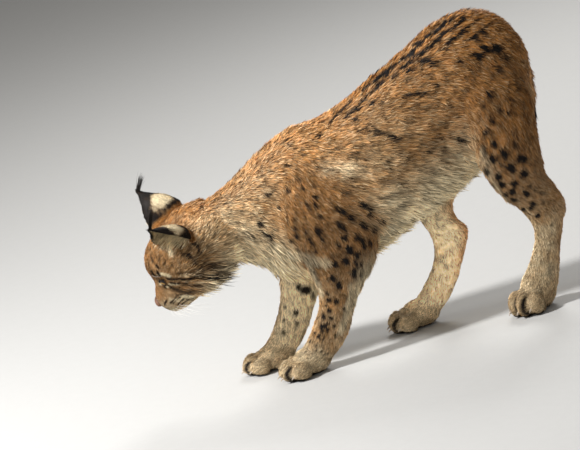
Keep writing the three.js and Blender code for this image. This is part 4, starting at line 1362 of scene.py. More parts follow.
@cache
def head_surface():
    """The skin of the head with its coat: the tables' values at each point's t and turn, and a ruff of
    longer fur that hangs back from the cheeks."""
    points, faces, t, angle, along = head_mesh()
    turn = np.abs(angle) / np.pi
    side = np.where(angle < 0, -1, 1)
    mirror = np.stack([1 + 0 * side, side, 1 + 0 * side], axis=1)
    in_ruff = smooth(0.42, 0.56, turn) * smooth(0.3, 0.5, t) * (1 - 0.6 * smooth(0.85, 1, turn))
    lie = mix(unit(along), RUFF_LIE * mirror, (0.8 * in_ruff)[:, None])
    length = round_body(turn, *rows_at(HEAD_FUR, t))
    length = mix(length, RUFF_LENGTH, bump(turn, 0.64, 0.13) * bump(t, 0.62, 0.2))
    values = rows_at(HEAD_TONES, t)
    pale, warm = round_body(turn, *values[:3]), round_body(turn, *values[3:])
    ragged = 0.14 * noise(points, 16, 5) + 0.1 * noise(points, 6, 6)
    skin = Surface(from_head(points), faces)
    skin.head_points = points
    skin.lay(lie @ HEAD_AXES.T, 2)
    # The head's brightness: lighter on the lower face as painted light, darker on the crown, and lighter on
    # the sides towards the back of the head as painted light.
    front, behind = 0.76 + 0.4 * smooth(0.45, 0.75, turn), 1.0 + 0.3 * bump(turn, 0.4, 0.3)
    dense = np.interp(length, [2, 6, 12, 30], [1.5, 1.1, 0.7, 0.45])
    skin.fields.update(
        part=np.zeros(len(points), int),
        places=np.stack([t, angle], axis=1)[None],
        length=length,
        bright=mix(front, behind, smooth(0.72, 0.92, t)),
        width=0.3 + 0.028 * np.minimum(length, 22),
        lift=0.22 + 0.012 * np.minimum(length, 20),
        dense=dense * (1 - eye_cover(points)) * (1 - smooth(0.93, 0.97, t)),
    )
    skin.fields["marks"] = np.clip(head_marks(skin, plain_marks(pale, warm, ragged)), 0, 1)
    return skin


def eye_cover(points):
    """1 where the face has no fur for an eye or its rim, 0 elsewhere."""
    cover = np.zeros(len(points))
    for side in (1, -1):
        at, look, out, up = eye_frame(side)
        way = points - at
        near = (dot(way, look) > 0) * (np.linalg.norm(way, axis=1) < 20)
        cover = np.maximum(cover, near * (1 - smooth(1.25, 1.5, opening_at(dot(way, out), dot(way, up)))))
    return cover


# Marks of the face: a line through pixels of the photograph, its half width in millimetres and how dark.
FACE_LINES = [
    ([(168, 282), (176, 281), (184, 281), (192, 280), (200, 277), (212, 277), (226, 279)], 2.3, 1.0),
    ([(170, 285), (182, 286), (195, 284), (210, 282), (224, 282)], 2.2, 0.8),
    ([(176, 276), (184, 275), (194, 274), (203, 272)], 2.0, 0.65),
    ([(192, 268), (203, 268), (214, 270), (226, 274)], 3.0, 0.7),
    ([(205, 265), (216, 264), (226, 267)], 3.4, 0.7), ([(208, 274), (218, 274), (228, 277)], 3.4, 0.75),
    # The wide line under the cheek, through (171, 290) to (187, 294), is painted shade.
    ([(196, 262), (206, 262)], 2.4, 0.5), ([(171, 290), (178, 293), (187, 294)], 7.0, 0.6),
    ([(188, 291), (202, 289), (216, 285)], 2.6, 0.7), ([(169, 304), (175, 299)], 1.4, 1.0),
    ([(173, 306), (180, 300)], 1.4, 1.0), ([(178, 307), (185, 301)], 1.4, 1.0),
    ([(183, 307), (188, 302)], 1.6, 0.9), ([(164, 301), (163, 306)], 1.8, 0.9),
    ([(175, 297), (182, 297)], 1.4, 0.7), ([(190, 245), (195, 250), (200, 256)], 3.0, 0.9),
    ([(184, 255), (188, 259)], 3.6, 0.9), ([(172, 243), (177, 248), (180, 254)], 4.0, 0.6),
    ([(186, 248), (190, 254)], 2.4, 0.6), ([(154, 266), (156, 270)], 2.4, 1.0),
    ([(155, 273), (158, 277)], 2.4, 1.0), ([(150, 273), (153, 277)], 2.2, 1.0),
    ([(149, 258), (151, 264)], 2.0, 0.8), ([(157, 258), (157, 263)], 1.8, 0.6),
    ([(163, 262), (162, 268)], 1.8, 0.6), ([(170, 264), (168, 270)], 1.8, 0.5),
    ([(166, 281), (170, 282)], 2.6, 1.0), ([(162, 287), (164, 290)], 2.0, 0.7),
    ([(149, 250), (147, 258)], 1.8, 0.4),
]
FACE_PALES = [
    ([(157, 276), (162, 276), (168, 278)], 3.4, 1.0), ([(158, 281), (159, 286)], 2.8, 1.0),
    ([(165, 288), (171, 286), (177, 287)], 3.0, 1.0), ([(170, 302), (180, 303), (188, 303)], 5.5, 0.75),
    ([(186, 299), (194, 297), (200, 292)], 7.0, 1.0), ([(180, 278), (192, 277), (202, 274)], 2.0, 0.6),
    ([(184, 283), (196, 282), (208, 279)], 1.6, 0.6), ([(206, 284), (220, 283), (236, 282)], 3.4, 0.6),
    ([(155, 242), (160, 250)], 5.0, 0.55), ([(165, 243), (168, 255)], 4.5, 0.8),
    ([(228, 266), (234, 274)], 6.0, 0.8),
]


def head_marks(skin, marks):
    """Adds the pale and then the dark lines of the face, on both sides: each covers by its distance over
    its half width, made ragged by noise, and takes from the other, and the pale lines are painted brighter
    as painted light. Then come the pale upper lip, also painted brighter as painted light, the dark line of
    the mouth and the groove under the nose."""
    points = to_head(skin.along_fur(0.5))
    rough = 1 + 0.35 * noise(points, 4, 15)
    for which, lines in ((1, FACE_PALES), (0, FACE_LINES)):
        for line, width, strength in lines:
            places = [seen_at(spot, ("head",))[1:] for spot in line]
            for side in (1, -1):
                path = marked_path(points, [HEAD_TUBE.at(t, side * angle, -2) for t, angle in places])
                near = np.flatnonzero(np.linalg.norm(points - path.mean(axis=0), axis=1) < 70)
                far, _ = away_from(points[near], path)
                cover = strength * (1 - smooth(0.6, 1.5, far / width * rough[near]))
                marks[near, which] = np.maximum(marks[near, which], cover)
                marks[near, 1 - which] *= 1 - 0.8 * cover
                # Painted light: the pale lines are made brighter too.
                skin.fields["bright"][near] += 0.3 * which * cover
    lip = smooth(-14, -26, skin.head_points[:, 2]) * smooth(88, 104, skin.head_points[:, 0])
    marks[:, 1] = np.maximum(marks[:, 1], lip * (1 - marks[:, 0]))
    # Painted light: the pale upper lip is made brighter.
    skin.fields["bright"] += 0.25 * lip
    for side in (1, -1):
        far, _ = away_from(skin.head_points, mouth_path(side))
        marks[:, 0] = np.maximum(marks[:, 0], 0.95 * bump(far, 0, 2.6))
    philtrum = bump(skin.head_points[:, 1], 0, 1.3) * smooth(104, 109, skin.head_points[:, 0])
    below = smooth(-14, -18, skin.head_points[:, 2]) * smooth(-34, -30, skin.head_points[:, 2])
    marks[:, 0] = np.maximum(marks[:, 0], 0.9 * philtrum * below)
    return marks


# Tufts of fur.
def scatter(skin, wanted, count, random):
    """Roots on the triangles for which wanted is true, in proportion to area and density. Returns the
    three points of each root's triangle and their shares."""
    a, b, c = (skin.points[skin.faces[:, k]] for k in range(3))
    area = np.linalg.norm(np.cross(b - a, c - a), axis=1) / 2
    weight = area * skin.fields["dense"][skin.faces].mean(axis=1) * wanted
    run = np.cumsum(weight)
    count = int(run[-1] * count)
    places = (np.arange(count) + random.random(count)) / count * run[-1]
    face = np.minimum(np.searchsorted(run, places), len(run) - 1)
    u, v = random.random(count), random.random(count)
    over = u + v > 1
    u, v = np.where(over, 1 - u, u), np.where(over, 1 - v, v)
    return skin.faces[face], np.stack([1 - u - v, u, v], axis=1)


def at_roots(values, corners, shares):
    """A field read at the roots from the corners of their triangles."""
    picked = values[corners]
    return np.einsum("nk,nk...->n...", shares, picked)


def tuft_shape(roots, normals, lie, length, width, lift, roll, droop, steps, shares):
    """Ribbons that taper to a point. The middle line at s is root + lie length s + normal length lift
    (1.7 s - 0.7 s^2) - droop length s^2 down. Returns points (tufts, points of a tuft, 3), the normals
    of the ribbons and the way across them."""
    s = np.array(steps)
    rise = (1.7 * s - 0.7 * s * s)[None, :, None]
    centre = roots[:, None] + lie[:, None] * (length[:, None] * s)[..., None]
    centre = centre + normals[:, None] * (length * lift)[:, None, None] * rise
    centre[..., 2] -= (droop * length)[:, None] * s * s
    across = unit(np.cross(normals, lie))
    across = across * np.cos(roll)[:, None] + normals * np.sin(roll)[:, None]
    half = across[:, None] * (width[:, None] * np.array(shares))[..., None]
    pairs = np.stack([centre[:, :-1] - half[:, :-1], centre[:, :-1] + half[:, :-1]], axis=2)
    points = np.concatenate([pairs.reshape(len(roots), -1, 3), centre[:, -1:]], axis=1)
    return points, unit(np.cross(lie, across)), across


def tuft_faces(count, pairs):
    """Triangles of ribbons with the given number of pairs of points and a tip: two between each pair and
    the next, and one at the tip."""
    one = []
    for k in range(pairs - 1):
        left, right = 2 * k, 2 * k + 1
        one += [(right, left, left + 2), (right, left + 2, right + 2)]
    one.append((2 * pairs - 1, 2 * pairs - 2, 2 * pairs))
    size = 2 * pairs + 1
    return (np.array(one)[None] + (np.arange(count) * size)[:, None, None]).reshape(-1, 3)


# Steps of a tuft along its length, and its share of the width at each.
LONG_TUFT = ((0, 0.42, 0.76, 1), (0.75, 1, 0.66, 0))
SHORT_TUFT = ((0, 0.52, 1), (0.85, 0.9, 0))
ROOT_DEPTH = 0.6  # of a tuft's root in the skin
UV_PATCH = 0.003  # across a tuft on the map for baking
UV_MARGIN = 0.004
TUFT_FIELDS = ("lie", "length", "width", "lift", "marks", "bright")


def tuft_marks(f, s, random, roots, long, clump, streak):
    """The marks along each tuft: some tufts have a grey tip and some a dark one, long ones pale towards
    the tip, and each has its own warmth. Brightness rises from root to tip, times a draw of its own and
    noise that makes streaks along the fur, more of it where the fur is loose. The darker root is partly the
    undercoat's tone and partly painted shade between the tufts, and the skin's painted light and shade is
    carried over."""
    count = len(roots)
    marks = np.zeros((count, len(s), 4))
    marks[..., :3] = f["marks"][:, None]
    kind = random.random(count)
    grey_tip = (kind < 0.34) * 0.5 * random.random(count)
    dark_tip = (kind > 0.8 + 0.25 * streak) * 0.8 * random.random(count)
    far_tip = 0.6 * smooth(26, 44, long)
    marks[..., 1] = np.clip(marks[..., 1] + np.maximum(grey_tip, far_tip)[:, None] * s, 0, 1)
    marks[..., 0] = np.clip(marks[..., 0] * (1 + 0.3 * s) + dark_tip[:, None] * s * s, 0, 1)
    marks[..., 2] = np.clip(marks[..., 2] * (1 + 0.25 * random.normal(size=(count, 1))), 0, 1)
    loose = smooth(6, 15, f["length"])
    drift = mix(0.36, 0.66, loose) * streak + 0.2 * loose * noise(roots, 24, 45)
    bright = f["bright"] * (0.66 + 0.7 * random.random(count) + 0.2 * clump + drift)
    # Darker towards the root: partly the undercoat's tone, partly painted shade between the tufts.
    marks[..., 3] = np.maximum(bright, 0.2)[:, None] * (0.34 + 0.9 * s)
    return marks.reshape(-1, 4)


def fur(name, skin, wanted, number, slot, is_long=False, width=1.0, density=1.0, waves=0.3):
    """A piece of the coat: tufts rooted on the wanted triangles of a skin, each with its own draw of
    length, breadth, lift, lie and tone, and with neighbours drawn together by noise. Their normals lean
    from the ribbon's own towards the skin's, so that the coat is shaded as one."""
    coat = bpy.context.scene.lynx_coat
    random = np.random.default_rng([coat.seed, number])
    corners, shares = scatter(skin, wanted, density * coat.fullness, random)
    count = len(corners)
    f = {key: at_roots(skin.fields[key], corners, shares) for key in TUFT_FIELDS}
    roots = at_roots(skin.points, corners, shares)
    normals = unit(at_roots(skin.normals, corners, shares))
    lie = unit(f["lie"] - normals * dot(f["lie"], normals)[:, None])
    clump = noise(roots, 9, 20 + number)
    streak = noise(roots - lie * (0.8 * dot(roots, lie))[:, None], 5.0, 44)
    yaw = waves * noise(roots, 16, 40) + 0.5 * waves * noise(roots, 6, 41) + 0.16 * random.normal(size=count)
    lie = lie * np.cos(yaw)[:, None] + np.cross(normals, lie) * np.sin(yaw)[:, None]
    long = f["length"] * coat.length * (0.72 + 0.5 * random.random(count)) * (1 + 0.12 * clump)
    broad = f["width"] * width * coat.breadth * (0.65 + 0.6 * random.random(count))
    raised = f["lift"] * (0.55 + 0.75 * random.random(count) + 0.3 * clump)
    roll = 0.55 * random.normal(size=count)
    droop = 0.1 * smooth(16, 40, long)
    steps, taper = LONG_TUFT if is_long else SHORT_TUFT
    points, faced, across = tuft_shape(
        roots - normals * ROOT_DEPTH, normals, lie, long, broad, raised, roll, droop, steps, taper
    )
    points[..., 2] = np.maximum(points[..., 2], TUFT_RISE)
    pairs = len(steps) - 1
    faces = tuft_faces(count, pairs)
    sides = np.append(np.tile([-1, 1], pairs), 0)
    s = np.append(np.repeat(steps[:-1], 2), 1.0)
    marks = tuft_marks(f, s, random, roots, long, clump, streak)
    piece = new_piece(name, points.reshape(-1, 3), faces, coat_finish("fur"), marks=marks)
    bent = normals[:, None] * 0.62 + faced[:, None] * 0.45 + across[:, None] * (0.45 * sides)[None, :, None]
    piece.data.normals_split_custom_set_from_vertices(unit(bent).reshape(-1, 3).astype(np.float32))
    part = skin.fields["part"][corners[:, 0]]
    t, turn = np.moveaxis(skin.fields["places"][part[:, None], corners], -1, 0)
    turn = np.arctan2(dot(shares, np.sin(turn)), dot(shares, np.cos(turn)))
    lay_uv(piece, np.stack([turn / (2 * np.pi) + 0.5, dot(shares, t)], axis=1), sides, s, faces)
    return piece


def lay_uv(piece, roots, sides, s, faces):
    """The map for baking: each tuft is a small patch at its root's place on the unrolled skin."""
    patch = np.stack([sides * UV_PATCH / 2, (s - 0.5) * UV_PATCH], axis=1)
    uv = UV_MARGIN + np.clip(roots, 0, 1)[:, None] * (1 - 2 * UV_MARGIN) + patch[None]
    layer = piece.data.uv_layers.new(name="OFBake")
    layer.data.foreach_set("uv", uv.reshape(-1, 2)[faces.ravel()].astype(np.float32).ravel())


# Small parts of the head.
def eyeball(side):
    """A ball whose pole looks out, with the cornea's bell on it, and at each point the angle from the
    pole and the way round it."""
    at, look, out, up = eye_frame(side)
    look = unit(look + GAZE * (1, side, 1))
    out = unit(np.cross(look, up))
    up = np.cross(out, look)
    theta = np.concatenate([np.linspace(0.03, 0.8, 26), np.linspace(0.86, 3.1, 20)])[:, None]
    phi = circle(48)[None]
    radius = EYE_RADIUS + CORNEA_RISE * bump(theta, 0, 0.42)
    aside = out * np.cos(phi)[..., None] + up * np.sin(phi)[..., None]
    way = look * np.cos(theta)[..., None] + np.sin(theta)[..., None] * aside
    points, faces = closed_grid(at + way * radius[..., None])
    theta, phi = (x.ravel() for x in np.broadcast_arrays(theta, phi))
    gaze = np.stack([theta, np.cos(phi), np.sin(phi), 1 + 0 * theta], axis=1)
    return from_head(points), faces, np.vstack([gaze, [0, 0, 0, 1], [np.pi, 0, 0, 1]])


def eye_finish():
    """A round pupil, a ring of amber with fine spokes, and a dark rim, under a wet coat. The ramp runs
    over the angle from the pole as a share of half a turn."""
    tones = bpy.context.scene.lynx_colours
    eye = Finish("eye")
    gaze = eye.add("ShaderNodeAttribute", {"attribute_name": "marks"}, output="Color")
    angle = eye.marks()[0]
    spokes = eye.add("ShaderNodeTexNoise", None, {"Vector": gaze, "Scale": 14.0, "Detail": 3.0})
    pupil, edge, rim = (0.01, 0.01, 0.01), (0.1, 0.05, 0.02), (0.015, 0.01, 0.008)
    stops = [
        (0.0, pupil), (0.075, pupil), (0.09, tones.iris), (0.15, tones.iris), (0.185, edge), (0.2, rim),
        (0.5, rim),
    ]
    ring = eye.add("ShaderNodeValToRGB", {"stops": stops}, {0: angle / np.pi})
    tone = eye.blend(ring, (0.5, 0.5, 0.5), 0.5 * spokes, "MULTIPLY")
    return eye.done(tone, Roughness=0.4, Specular_IOR_Level=0.15, Coat_Weight=0.14, Coat_Roughness=0.03)


# The lids' section, inwards to outwards and back: away from the rim, and height over the eyeball.
LID_SECTION = np.array([
    (0.1, -1.0), (-0.5, 0.3), (0.1, 1.3), (1.1, 1.9), (2.4, 1.9), (4.0, 1.5), (5.8, 0.4), (3, -1.6)
])
LID_BARE = np.array([1, 1, 1, 0.95, 0.5, 0.2, 0.1, 1])  # how dark and bare the section is there


def lid_ring(side):
    """The rims of the lids as a closed ring: their section carried round the opening, on rays from the
    ball's middle. Returns points, triangles and marks."""
    at, look, out, up = eye_frame(side)
    wide, above, below = LID_OPENING
    turn = circle(72)
    across = wide * np.sign(np.cos(turn)) * np.abs(np.cos(turn)) ** 0.9
    rise = np.where(np.sin(turn) > 0, above, below) * np.sign(np.sin(turn)) * np.abs(np.sin(turn)) ** 1.35
    way_out = unit(np.stack([np.cos(turn) * 0.8, np.sin(turn)], axis=1))
    spot = np.stack([across, rise], axis=1)[None] + way_out[None] * LID_SECTION[:, 0, None, None]
    ahead = np.sqrt(np.maximum(EYE_RADIUS**2 - dot(spot, spot), 4.0))
    way = unit(look * ahead[..., None] + out * spot[..., :1] + up * spot[..., 1:])
    points = at + way * (EYE_RADIUS + LID_SECTION[:, 1])[:, None, None]
    rows, columns = points.shape[:2]
    i, j = np.meshgrid(np.arange(rows), np.arange(columns), indexing="ij")
    a, b = i * columns + j, i * columns + (j + 1) % columns
    c, d = (i + 1) % rows * columns + (j + 1) % columns, (i + 1) % rows * columns + j
    faces = np.stack([a, b, c, a, c, d], axis=-1).reshape(-1, 3)
    points = from_head(points.reshape(-1, 3))
    if volume(points, faces) < 0:
        faces = faces[:, ::-1]
    level = np.ones(len(LID_BARE))
    marks = np.stack([LID_BARE, 0.85 * (1 - LID_BARE), 0.4 * level, 0.9 * level], axis=1)
    return points, faces, np.repeat(marks, columns, axis=0)


def nose_shape():
    """The leather of the nose, with its nostrils and its middle groove pressed in, painted shade in the
    nostrils, and its underside dark. Returns points, triangles and marks."""
    t, angle = np.linspace(0, 1, 40)[:, None], circle(72)[None]
    points, faces = closed_grid(Tube(NOSE, NOSTRILS).at(t, angle))
    groove = bump(points[:, 1], 0, 0.9) * smooth(108, 114, points[:, 0])
    points[:, 0] -= 1.1 * groove
    dark = np.maximum(0.7 * smooth(112, 108, points[:, 0]), 0.8 * smooth(-13, -17, points[:, 2]))
    # Painted shade in the nostrils.
    for place, reach, _ in NOSTRILS:
        for side in (1, -1):
            far = np.linalg.norm(points - np.array(place) * (1, side, 1), axis=1)
            dark = np.maximum(dark, 1 - smooth(reach * 0.9, reach * 1.4, far))
    points[:, 2] -= NOSE_DROP
    marks = np.zeros((len(points), 4))
    marks[:, 0] = np.clip(dark + 0.4 * groove, 0, 1)
    marks[:, 3] = 1
    return from_head(points), faces, marks


def nose_finish():
    """Pebbled leather, mixed with the bare skin's tone in the nostrils, as painted shade, and by noise."""
    tones = bpy.context.scene.lynx_colours
    nose = Finish("nose leather")
    place = nose.add("ShaderNodeTexCoord", output="Object")
    pebbles = nose.add("ShaderNodeTexVoronoi", None, {"Vector": place, "Scale": 1100.0})
    tone = nose.blend(tones.nose, tones.hide, nose.marks()[0])
    tone = nose.blend(tone, tones.hide, 0.5 * nose.speckle(160, 3))
    return nose.done(tone, Roughness=0.45, Specular_IOR_Level=0.3, Normal=nose.bump(pebbles, 0.0002))


def ear_axes(side):
    """The ways up an ear, ahead out of its cup, and across it, in the head's frame."""
    up = unit(EAR_UP * (1, side, 1))
    facing = np.radians(EAR_FACING)
    ahead = np.array([np.cos(facing), side * np.sin(facing), 0])
    ahead = unit(ahead - up * dot(ahead, up))
    return up, ahead, np.cross(up, ahead)


def ear_cup(side):
    """One ear as a closed cup: rings from the root to the tip, each an outer arc about the back and an
    inner arc about the opening, whose widths run smoothly through the ear's table. Returns the rings, and
    as arrays s up the ear, the turn, 1 on the outer arc and the half width."""
    up, ahead, across = ear_axes(side)
    s = np.linspace(0, 1, EAR_RINGS)
    knots = np.array([(w, h * 10, 0) for w, h in zip(EAR_WIDTHS, EAR_HOLLOW)], float)
    widths, hollow = spline(knots, s)[:, 0], np.clip(spline(knots, s)[:, 1] / 10, 0, 1)
    wall = mix(3.2, 1.0, s)
    arc = np.radians(EAR_ARC)
    inner_arc = np.linspace(np.pi / 2, -np.pi / 2, EAR_INSIDE)
    turn = np.concatenate([np.linspace(-arc, arc, EAR_OUTSIDE), inner_arc])
    is_outer = np.concatenate([np.ones(EAR_OUTSIDE), np.zeros(EAR_INSIDE)])
    wide = np.where(is_outer, widths[:, None], np.maximum(0.4, widths - wall)[:, None])
    inner_depth = np.maximum(0, widths * EAR_DEPTH - wall) * hollow
    depth = np.where(is_outer, widths[:, None] * EAR_DEPTH, inner_depth[:, None])
    centre = EAR_AT * (1, side, 1) + up * ((s * 1.12 - 0.12) * EAR_LENGTH)[:, None]
    aside, behind = (wide * np.sin(turn))[..., None], (depth * np.cos(turn))[..., None]
    return centre[:, None] + across * aside - ahead * behind, s, turn, is_outer, widths


@cache
def ear_surface(side):
    """An ear with its coat: the outside is black with a white patch, the rim dark and the inside pale,
    with longer hair at the front of the root."""
    up, ahead, across = ear_axes(side)
    rings, s, turn, is_outer, widths = ear_cup(side)
    points, faces = closed_grid(rings)
    around = len(turn)
    s_at = np.append(np.repeat(s, around), [0, 1])
    turn_at = np.append(np.tile(turn, EAR_RINGS), [0, 0])
    outside = np.append(np.tile(is_outer, EAR_RINGS), [1, 1])
    width_at = np.append(np.repeat(widths, around), [30, 2])
    skin = Surface(from_head(points), faces)
    skin.head_points = points
    slope = np.vstack([unit(np.gradient(rings, axis=0)).reshape(-1, 3), up, up])
    inwards = unit(-across * np.sin(turn_at)[:, None] + ahead * np.cos(turn_at)[:, None])
    lie = mix(slope, slope * 0.5 + inwards * 0.8 + ahead * 0.4, (1 - outside)[:, None])
    skin.lay(lie @ HEAD_AXES.T)
    bend = np.abs(turn_at)
    rim = outside * smooth(1.25, 1.6, bend) + (1 - outside) * smooth(1.2, 1.5, bend)
    front_root = (1 - smooth(0.2, 0.6, s_at)) * smooth(0.2, 1.2, -turn_at * side)
    inner = np.minimum(mix(15, 9, s_at) + 14 * front_root, 2.5 + 0.42 * width_at)
    inner = inner * (1 - 0.5 * smooth(0.8, 1.3, bend) * (1 - front_root))
    level = np.ones(len(points))
    v = 0.02 + 0.46 * s_at
    skin.fields.update(
        length=mix(inner, mix(6, 5, s_at) + 3 * rim, outside),
        width=0.4 * level,
        bright=level,
        lift=mix(0.3, 0.2, outside),
        dense=mix(0.5 * (1 - smooth(0.6, 0.9, s_at)), 1.2, outside) + 0.6 * rim,
        part=(1 - outside).astype(int),
        places=np.stack([np.stack([v, turn_at], 1), np.stack([v + 0.5, turn_at], 1)]),
        marks=ear_marks(points, s_at, turn_at * side, outside, rim),
    )
    return skin


def ear_marks(points, s, turn, outside, rim):
    """The marks of an ear: outside, black above a slanting line round an oval of white; inside, pale, and
    dark towards the tip and the rim."""
    ragged = 0.25 * noise(points, 6, 16) + 0.15 * noise(points, 2.5, 17)
    white = 1 - smooth(0.6, 1.2, np.hypot((s - 0.45) / 0.22, (turn - 0.55) / 1.15) + ragged)
    black = smooth(0.12, 0.24, s + 0.05 * turn + 0.1 * ragged) * (1 - white)
    rough = 0.12 * noise(points, 7, 8)
    dark = mix(0.25 * smooth(0.4, 0.9, s) + rim * smooth(0.3, 0.6, s) * 0.7, black, outside)
    pale = mix(0.75, white * 0.95, outside)
    marks = np.stack([dark + rough * (dark > 0.05), pale + rough, mix(0.25, 0.85, outside)], axis=1)
    return np.clip(marks, 0, 1)


def ear_tuft(side):
    """The black tuft of an ear: hairs from a small disc at the tip that keep together and part at the end."""
    random = np.random.default_rng([bpy.context.scene.lynx_coat.seed, 80 + side])
    tip = ear_surface(side).head_points[-1]
    way = unit(EAR_TUFT * (1, side, 1))
    count = TUFT_HAIRS
    off = random.normal(size=(count, 3)) * 0.55
    off -= way * (off @ way)[:, None]
    back = random.random(count)
    roots = tip + off * mix(0.5, 1.4, back)[:, None] - unit(EAR_UP * (1, side, 1)) * (6 * back)[:, None]
    lie = unit(way + off * 0.02 + 0.035 * random.normal(size=(count, 3)))
    length = 20 + 24 * random.random(count) ** 0.7
    bend = unit(np.cross(way, (0, 1, 0))) * 0.12 + 0.03 * random.normal(size=(count, 3))
    points, faces = hairs(roots, lie, bend, length, 0.34 + 0.18 * random.random(count), sides=4, rings=6)
    return from_head(points), faces


def ear_lining(side):
    """The inside of an ear with the fields of the long pale hair that stands out of its opening, shorter
    with the height v, and its triangles low in the middle of the cup, which bear it."""
    ear = ear_surface(side)
    lining = Surface(ear.points, ear.faces)
    lining.fields = dict(ear.fields)
    facing = np.radians(EAR_FACING)
    v, turn = ear.fields["places"][0].T
    out = unit(np.array([np.cos(facing), side * np.sin(facing), 0.25]) + 0.1 * ear.head_points / 60)
    up = unit(EAR_UP * (1, side, 1))
    lining.normals = unit(up - out * (out @ up)[:, None]) @ HEAD_AXES.T
    lining.fields.update(
        lie=out @ HEAD_AXES.T,
        length=26 - 34 * v,
        lift=np.full(len(v), 0.1),
        dense=np.full(len(v), 0.16),
        marks=np.tile([0, 0.95, 0.2], (len(v), 1)),
    )
    in_cup = (ear.fields["part"] == 1) & (np.abs(turn) < 1.1)
    return lining, in_cup[ear.faces].all(axis=1) & (v[ear.faces].max(axis=1) < 0.26)


def hairs(roots, lie, bend, length, radius, sides=5, rings=9):
    """Tapered hairs: the middle line at s is root + lie length s + bend length s^2, and its radius falls
    from radius to a tenth. Returns points and triangles, closed at both ends."""
    s = np.linspace(0, 1, rings)
    way = lie[:, None] * s[:, None] + bend[:, None] * (s * s)[:, None]
    line = roots[:, None] + way * length[:, None, None]
    way = unit(np.gradient(line, axis=1))
    across = unit(np.cross(way, (0.3, 0.2, 1.0)))
    over = np.cross(way, across)
    turn = circle(sides)
    thick = radius[:, None] * mix(1.0, 0.1, s)
    ring = across[:, :, None] * np.cos(turn)[:, None] + over[:, :, None] * np.sin(turn)[:, None]
    points = line[:, :, None] + ring * thick[:, :, None, None]
    return merged(*[closed_grid(p) for p in points])


WHISKER_ROWS, WHISKERS_IN_ROW, BROW_HAIRS = 4, 5, 4


def whiskers():
    """Whiskers in rows on the pads of the muzzle, longer towards the back, and a few over the eyes."""
    random = np.random.default_rng([bpy.context.scene.lynx_coat.seed, 90])
    roots, lies, lengths, radii = [], [], [], []
    for side in (1, -1):
        for row in range(WHISKER_ROWS):
            for k in range(WHISKERS_IN_ROW):
                t = 0.1 + 0.032 * k + 0.006 * row
                turn = 0.5 + 0.065 * row + 0.012 * k
                roots.append(HEAD_TUBE.at(t, side * np.pi * turn, -3.0))
                lies.append((0.15 - 0.16 * k, side * (1 - 0.1 * row), -0.1 - 0.16 * row))
                lengths.append(24 + 7 * k + 4 * random.random())
                radii.append(0.24)
        for k in range(BROW_HAIRS):
            roots.append(HEAD_TUBE.at(0.44 + 0.012 * k, side * np.pi * (0.2 + 0.03 * k), -3.0))
            lies.append((0.3, side * 0.5, 0.8))
            lengths.append(22 + 6 * random.random())
            radii.append(0.2)
    lie = unit(np.array(lies) + 0.06 * random.normal(size=(len(lies), 3)))
    bend = np.tile([-0.3, 0, -0.12], (len(lie), 1))
    points, faces = hairs(np.array(roots), lie, bend, np.array(lengths), np.array(radii))
    return from_head(points), faces


def claws():
    """Short curved claws, each in the fur of a toe: rings on an arc that narrow to the point."""
    made = []
    for name in PAWS:
        matrix, place = paw_frame(name)
        for at, size in TOES:
            root = np.array([at[0] + size[0] - 6, at[1], 10.0])
            s = np.linspace(0, 1, 10)
            line = root + np.stack([9 * np.sin(1.3 * s), 0 * s, 2.6 - 7 * (1 - np.cos(1.3 * s))], axis=1)
            way = unit(np.gradient(line, axis=0))
            turn = circle(10)
            over = np.cross(way, (0, 1, 0))
            ring = np.array([0, 1.0, 0]) * (0.7 * np.cos(turn))[:, None]
            ring = ring[None] + over[:, None] * np.sin(turn)[None, :, None]
            radius = 2.1 * (1 - s) ** 0.7 + 0.12
            made.append(closed_grid((line[:, None] + ring * radius[:, None, None]) @ matrix.T + place))
    return merged(*made)


def plain_finish(name, tone, roughness, scale, shift=0.25):
    """One tone with fine noise in its brightness."""
    made = Finish(name)
    grain = made.speckle(scale, 3)
    gain = (1 - shift) + 2 * shift * grain
    base = made.add("ShaderNodeVectorMath", {"operation": "SCALE"}, {0: tone, "Scale": gain})
    return made.done(base, Roughness=roughness, Normal=made.bump(grain, 0.0004))


# The operators, one for each piece or group of like pieces.
LIMBS = ("upper_arm", "forearm", "front_paw", "thigh", "shank", "hind_foot", "hind_paw")
FLESH = ["head", "neck", "chest", "belly", "rump", "tail"]
FLESH += [f"{side}_{limb}" for side in ("left", "right") for limb in LIMBS]
SKIN_BRIGHT = 0.42  # of the skin against the fur, which shades it
EAR_BRIGHT = 0.7


class LYNX_OT_skin(bpy.types.Operator):
    """Makes the skin of the body and the head."""

    bl_idname = "lynx.skin"
    bl_label = "Skin"

    def execute(self, context):
        body, head = body_surface(), head_surface()
        points, faces = merged((body.points, body.faces), (head.points, head.faces))
        marks = np.vstack([
            np.hstack([part.fields["marks"], SKIN_BRIGHT * part.fields["bright"][:, None]])
            for part in (body, head)
        ])
        new_piece("skin", points, faces, coat_finish("skin", True), FLESH, marks)
        return {"FINISHED"}


class LYNX_OT_eyes(bpy.types.Operator):
    """Makes the eyeballs and the rims of the lids."""

    bl_idname = "lynx.eyes"
    bl_label = "Eyes and lids"

    def execute(self, context):
        finish = eye_finish()
        for side, name in ((1, "left"), (-1, "right")):
            points, faces, gaze = eyeball(side)
            new_piece(name + "_eyeball", points, faces, finish, [name + "_eye"], gaze)
            points, faces, marks = lid_ring(side)
            new_piece(name + "_lids", points, faces, coat_finish("skin", True), (), marks)
        return {"FINISHED"}


class LYNX_OT_nose(bpy.types.Operator):
    """Makes the leather of the nose."""

    bl_idname = "lynx.nose"
    bl_label = "Nose"

    def execute(self, context):
        points, faces, marks = nose_shape()
        new_piece("nose_leather", points, faces, nose_finish(), ["nose"], marks)
        return {"FINISHED"}


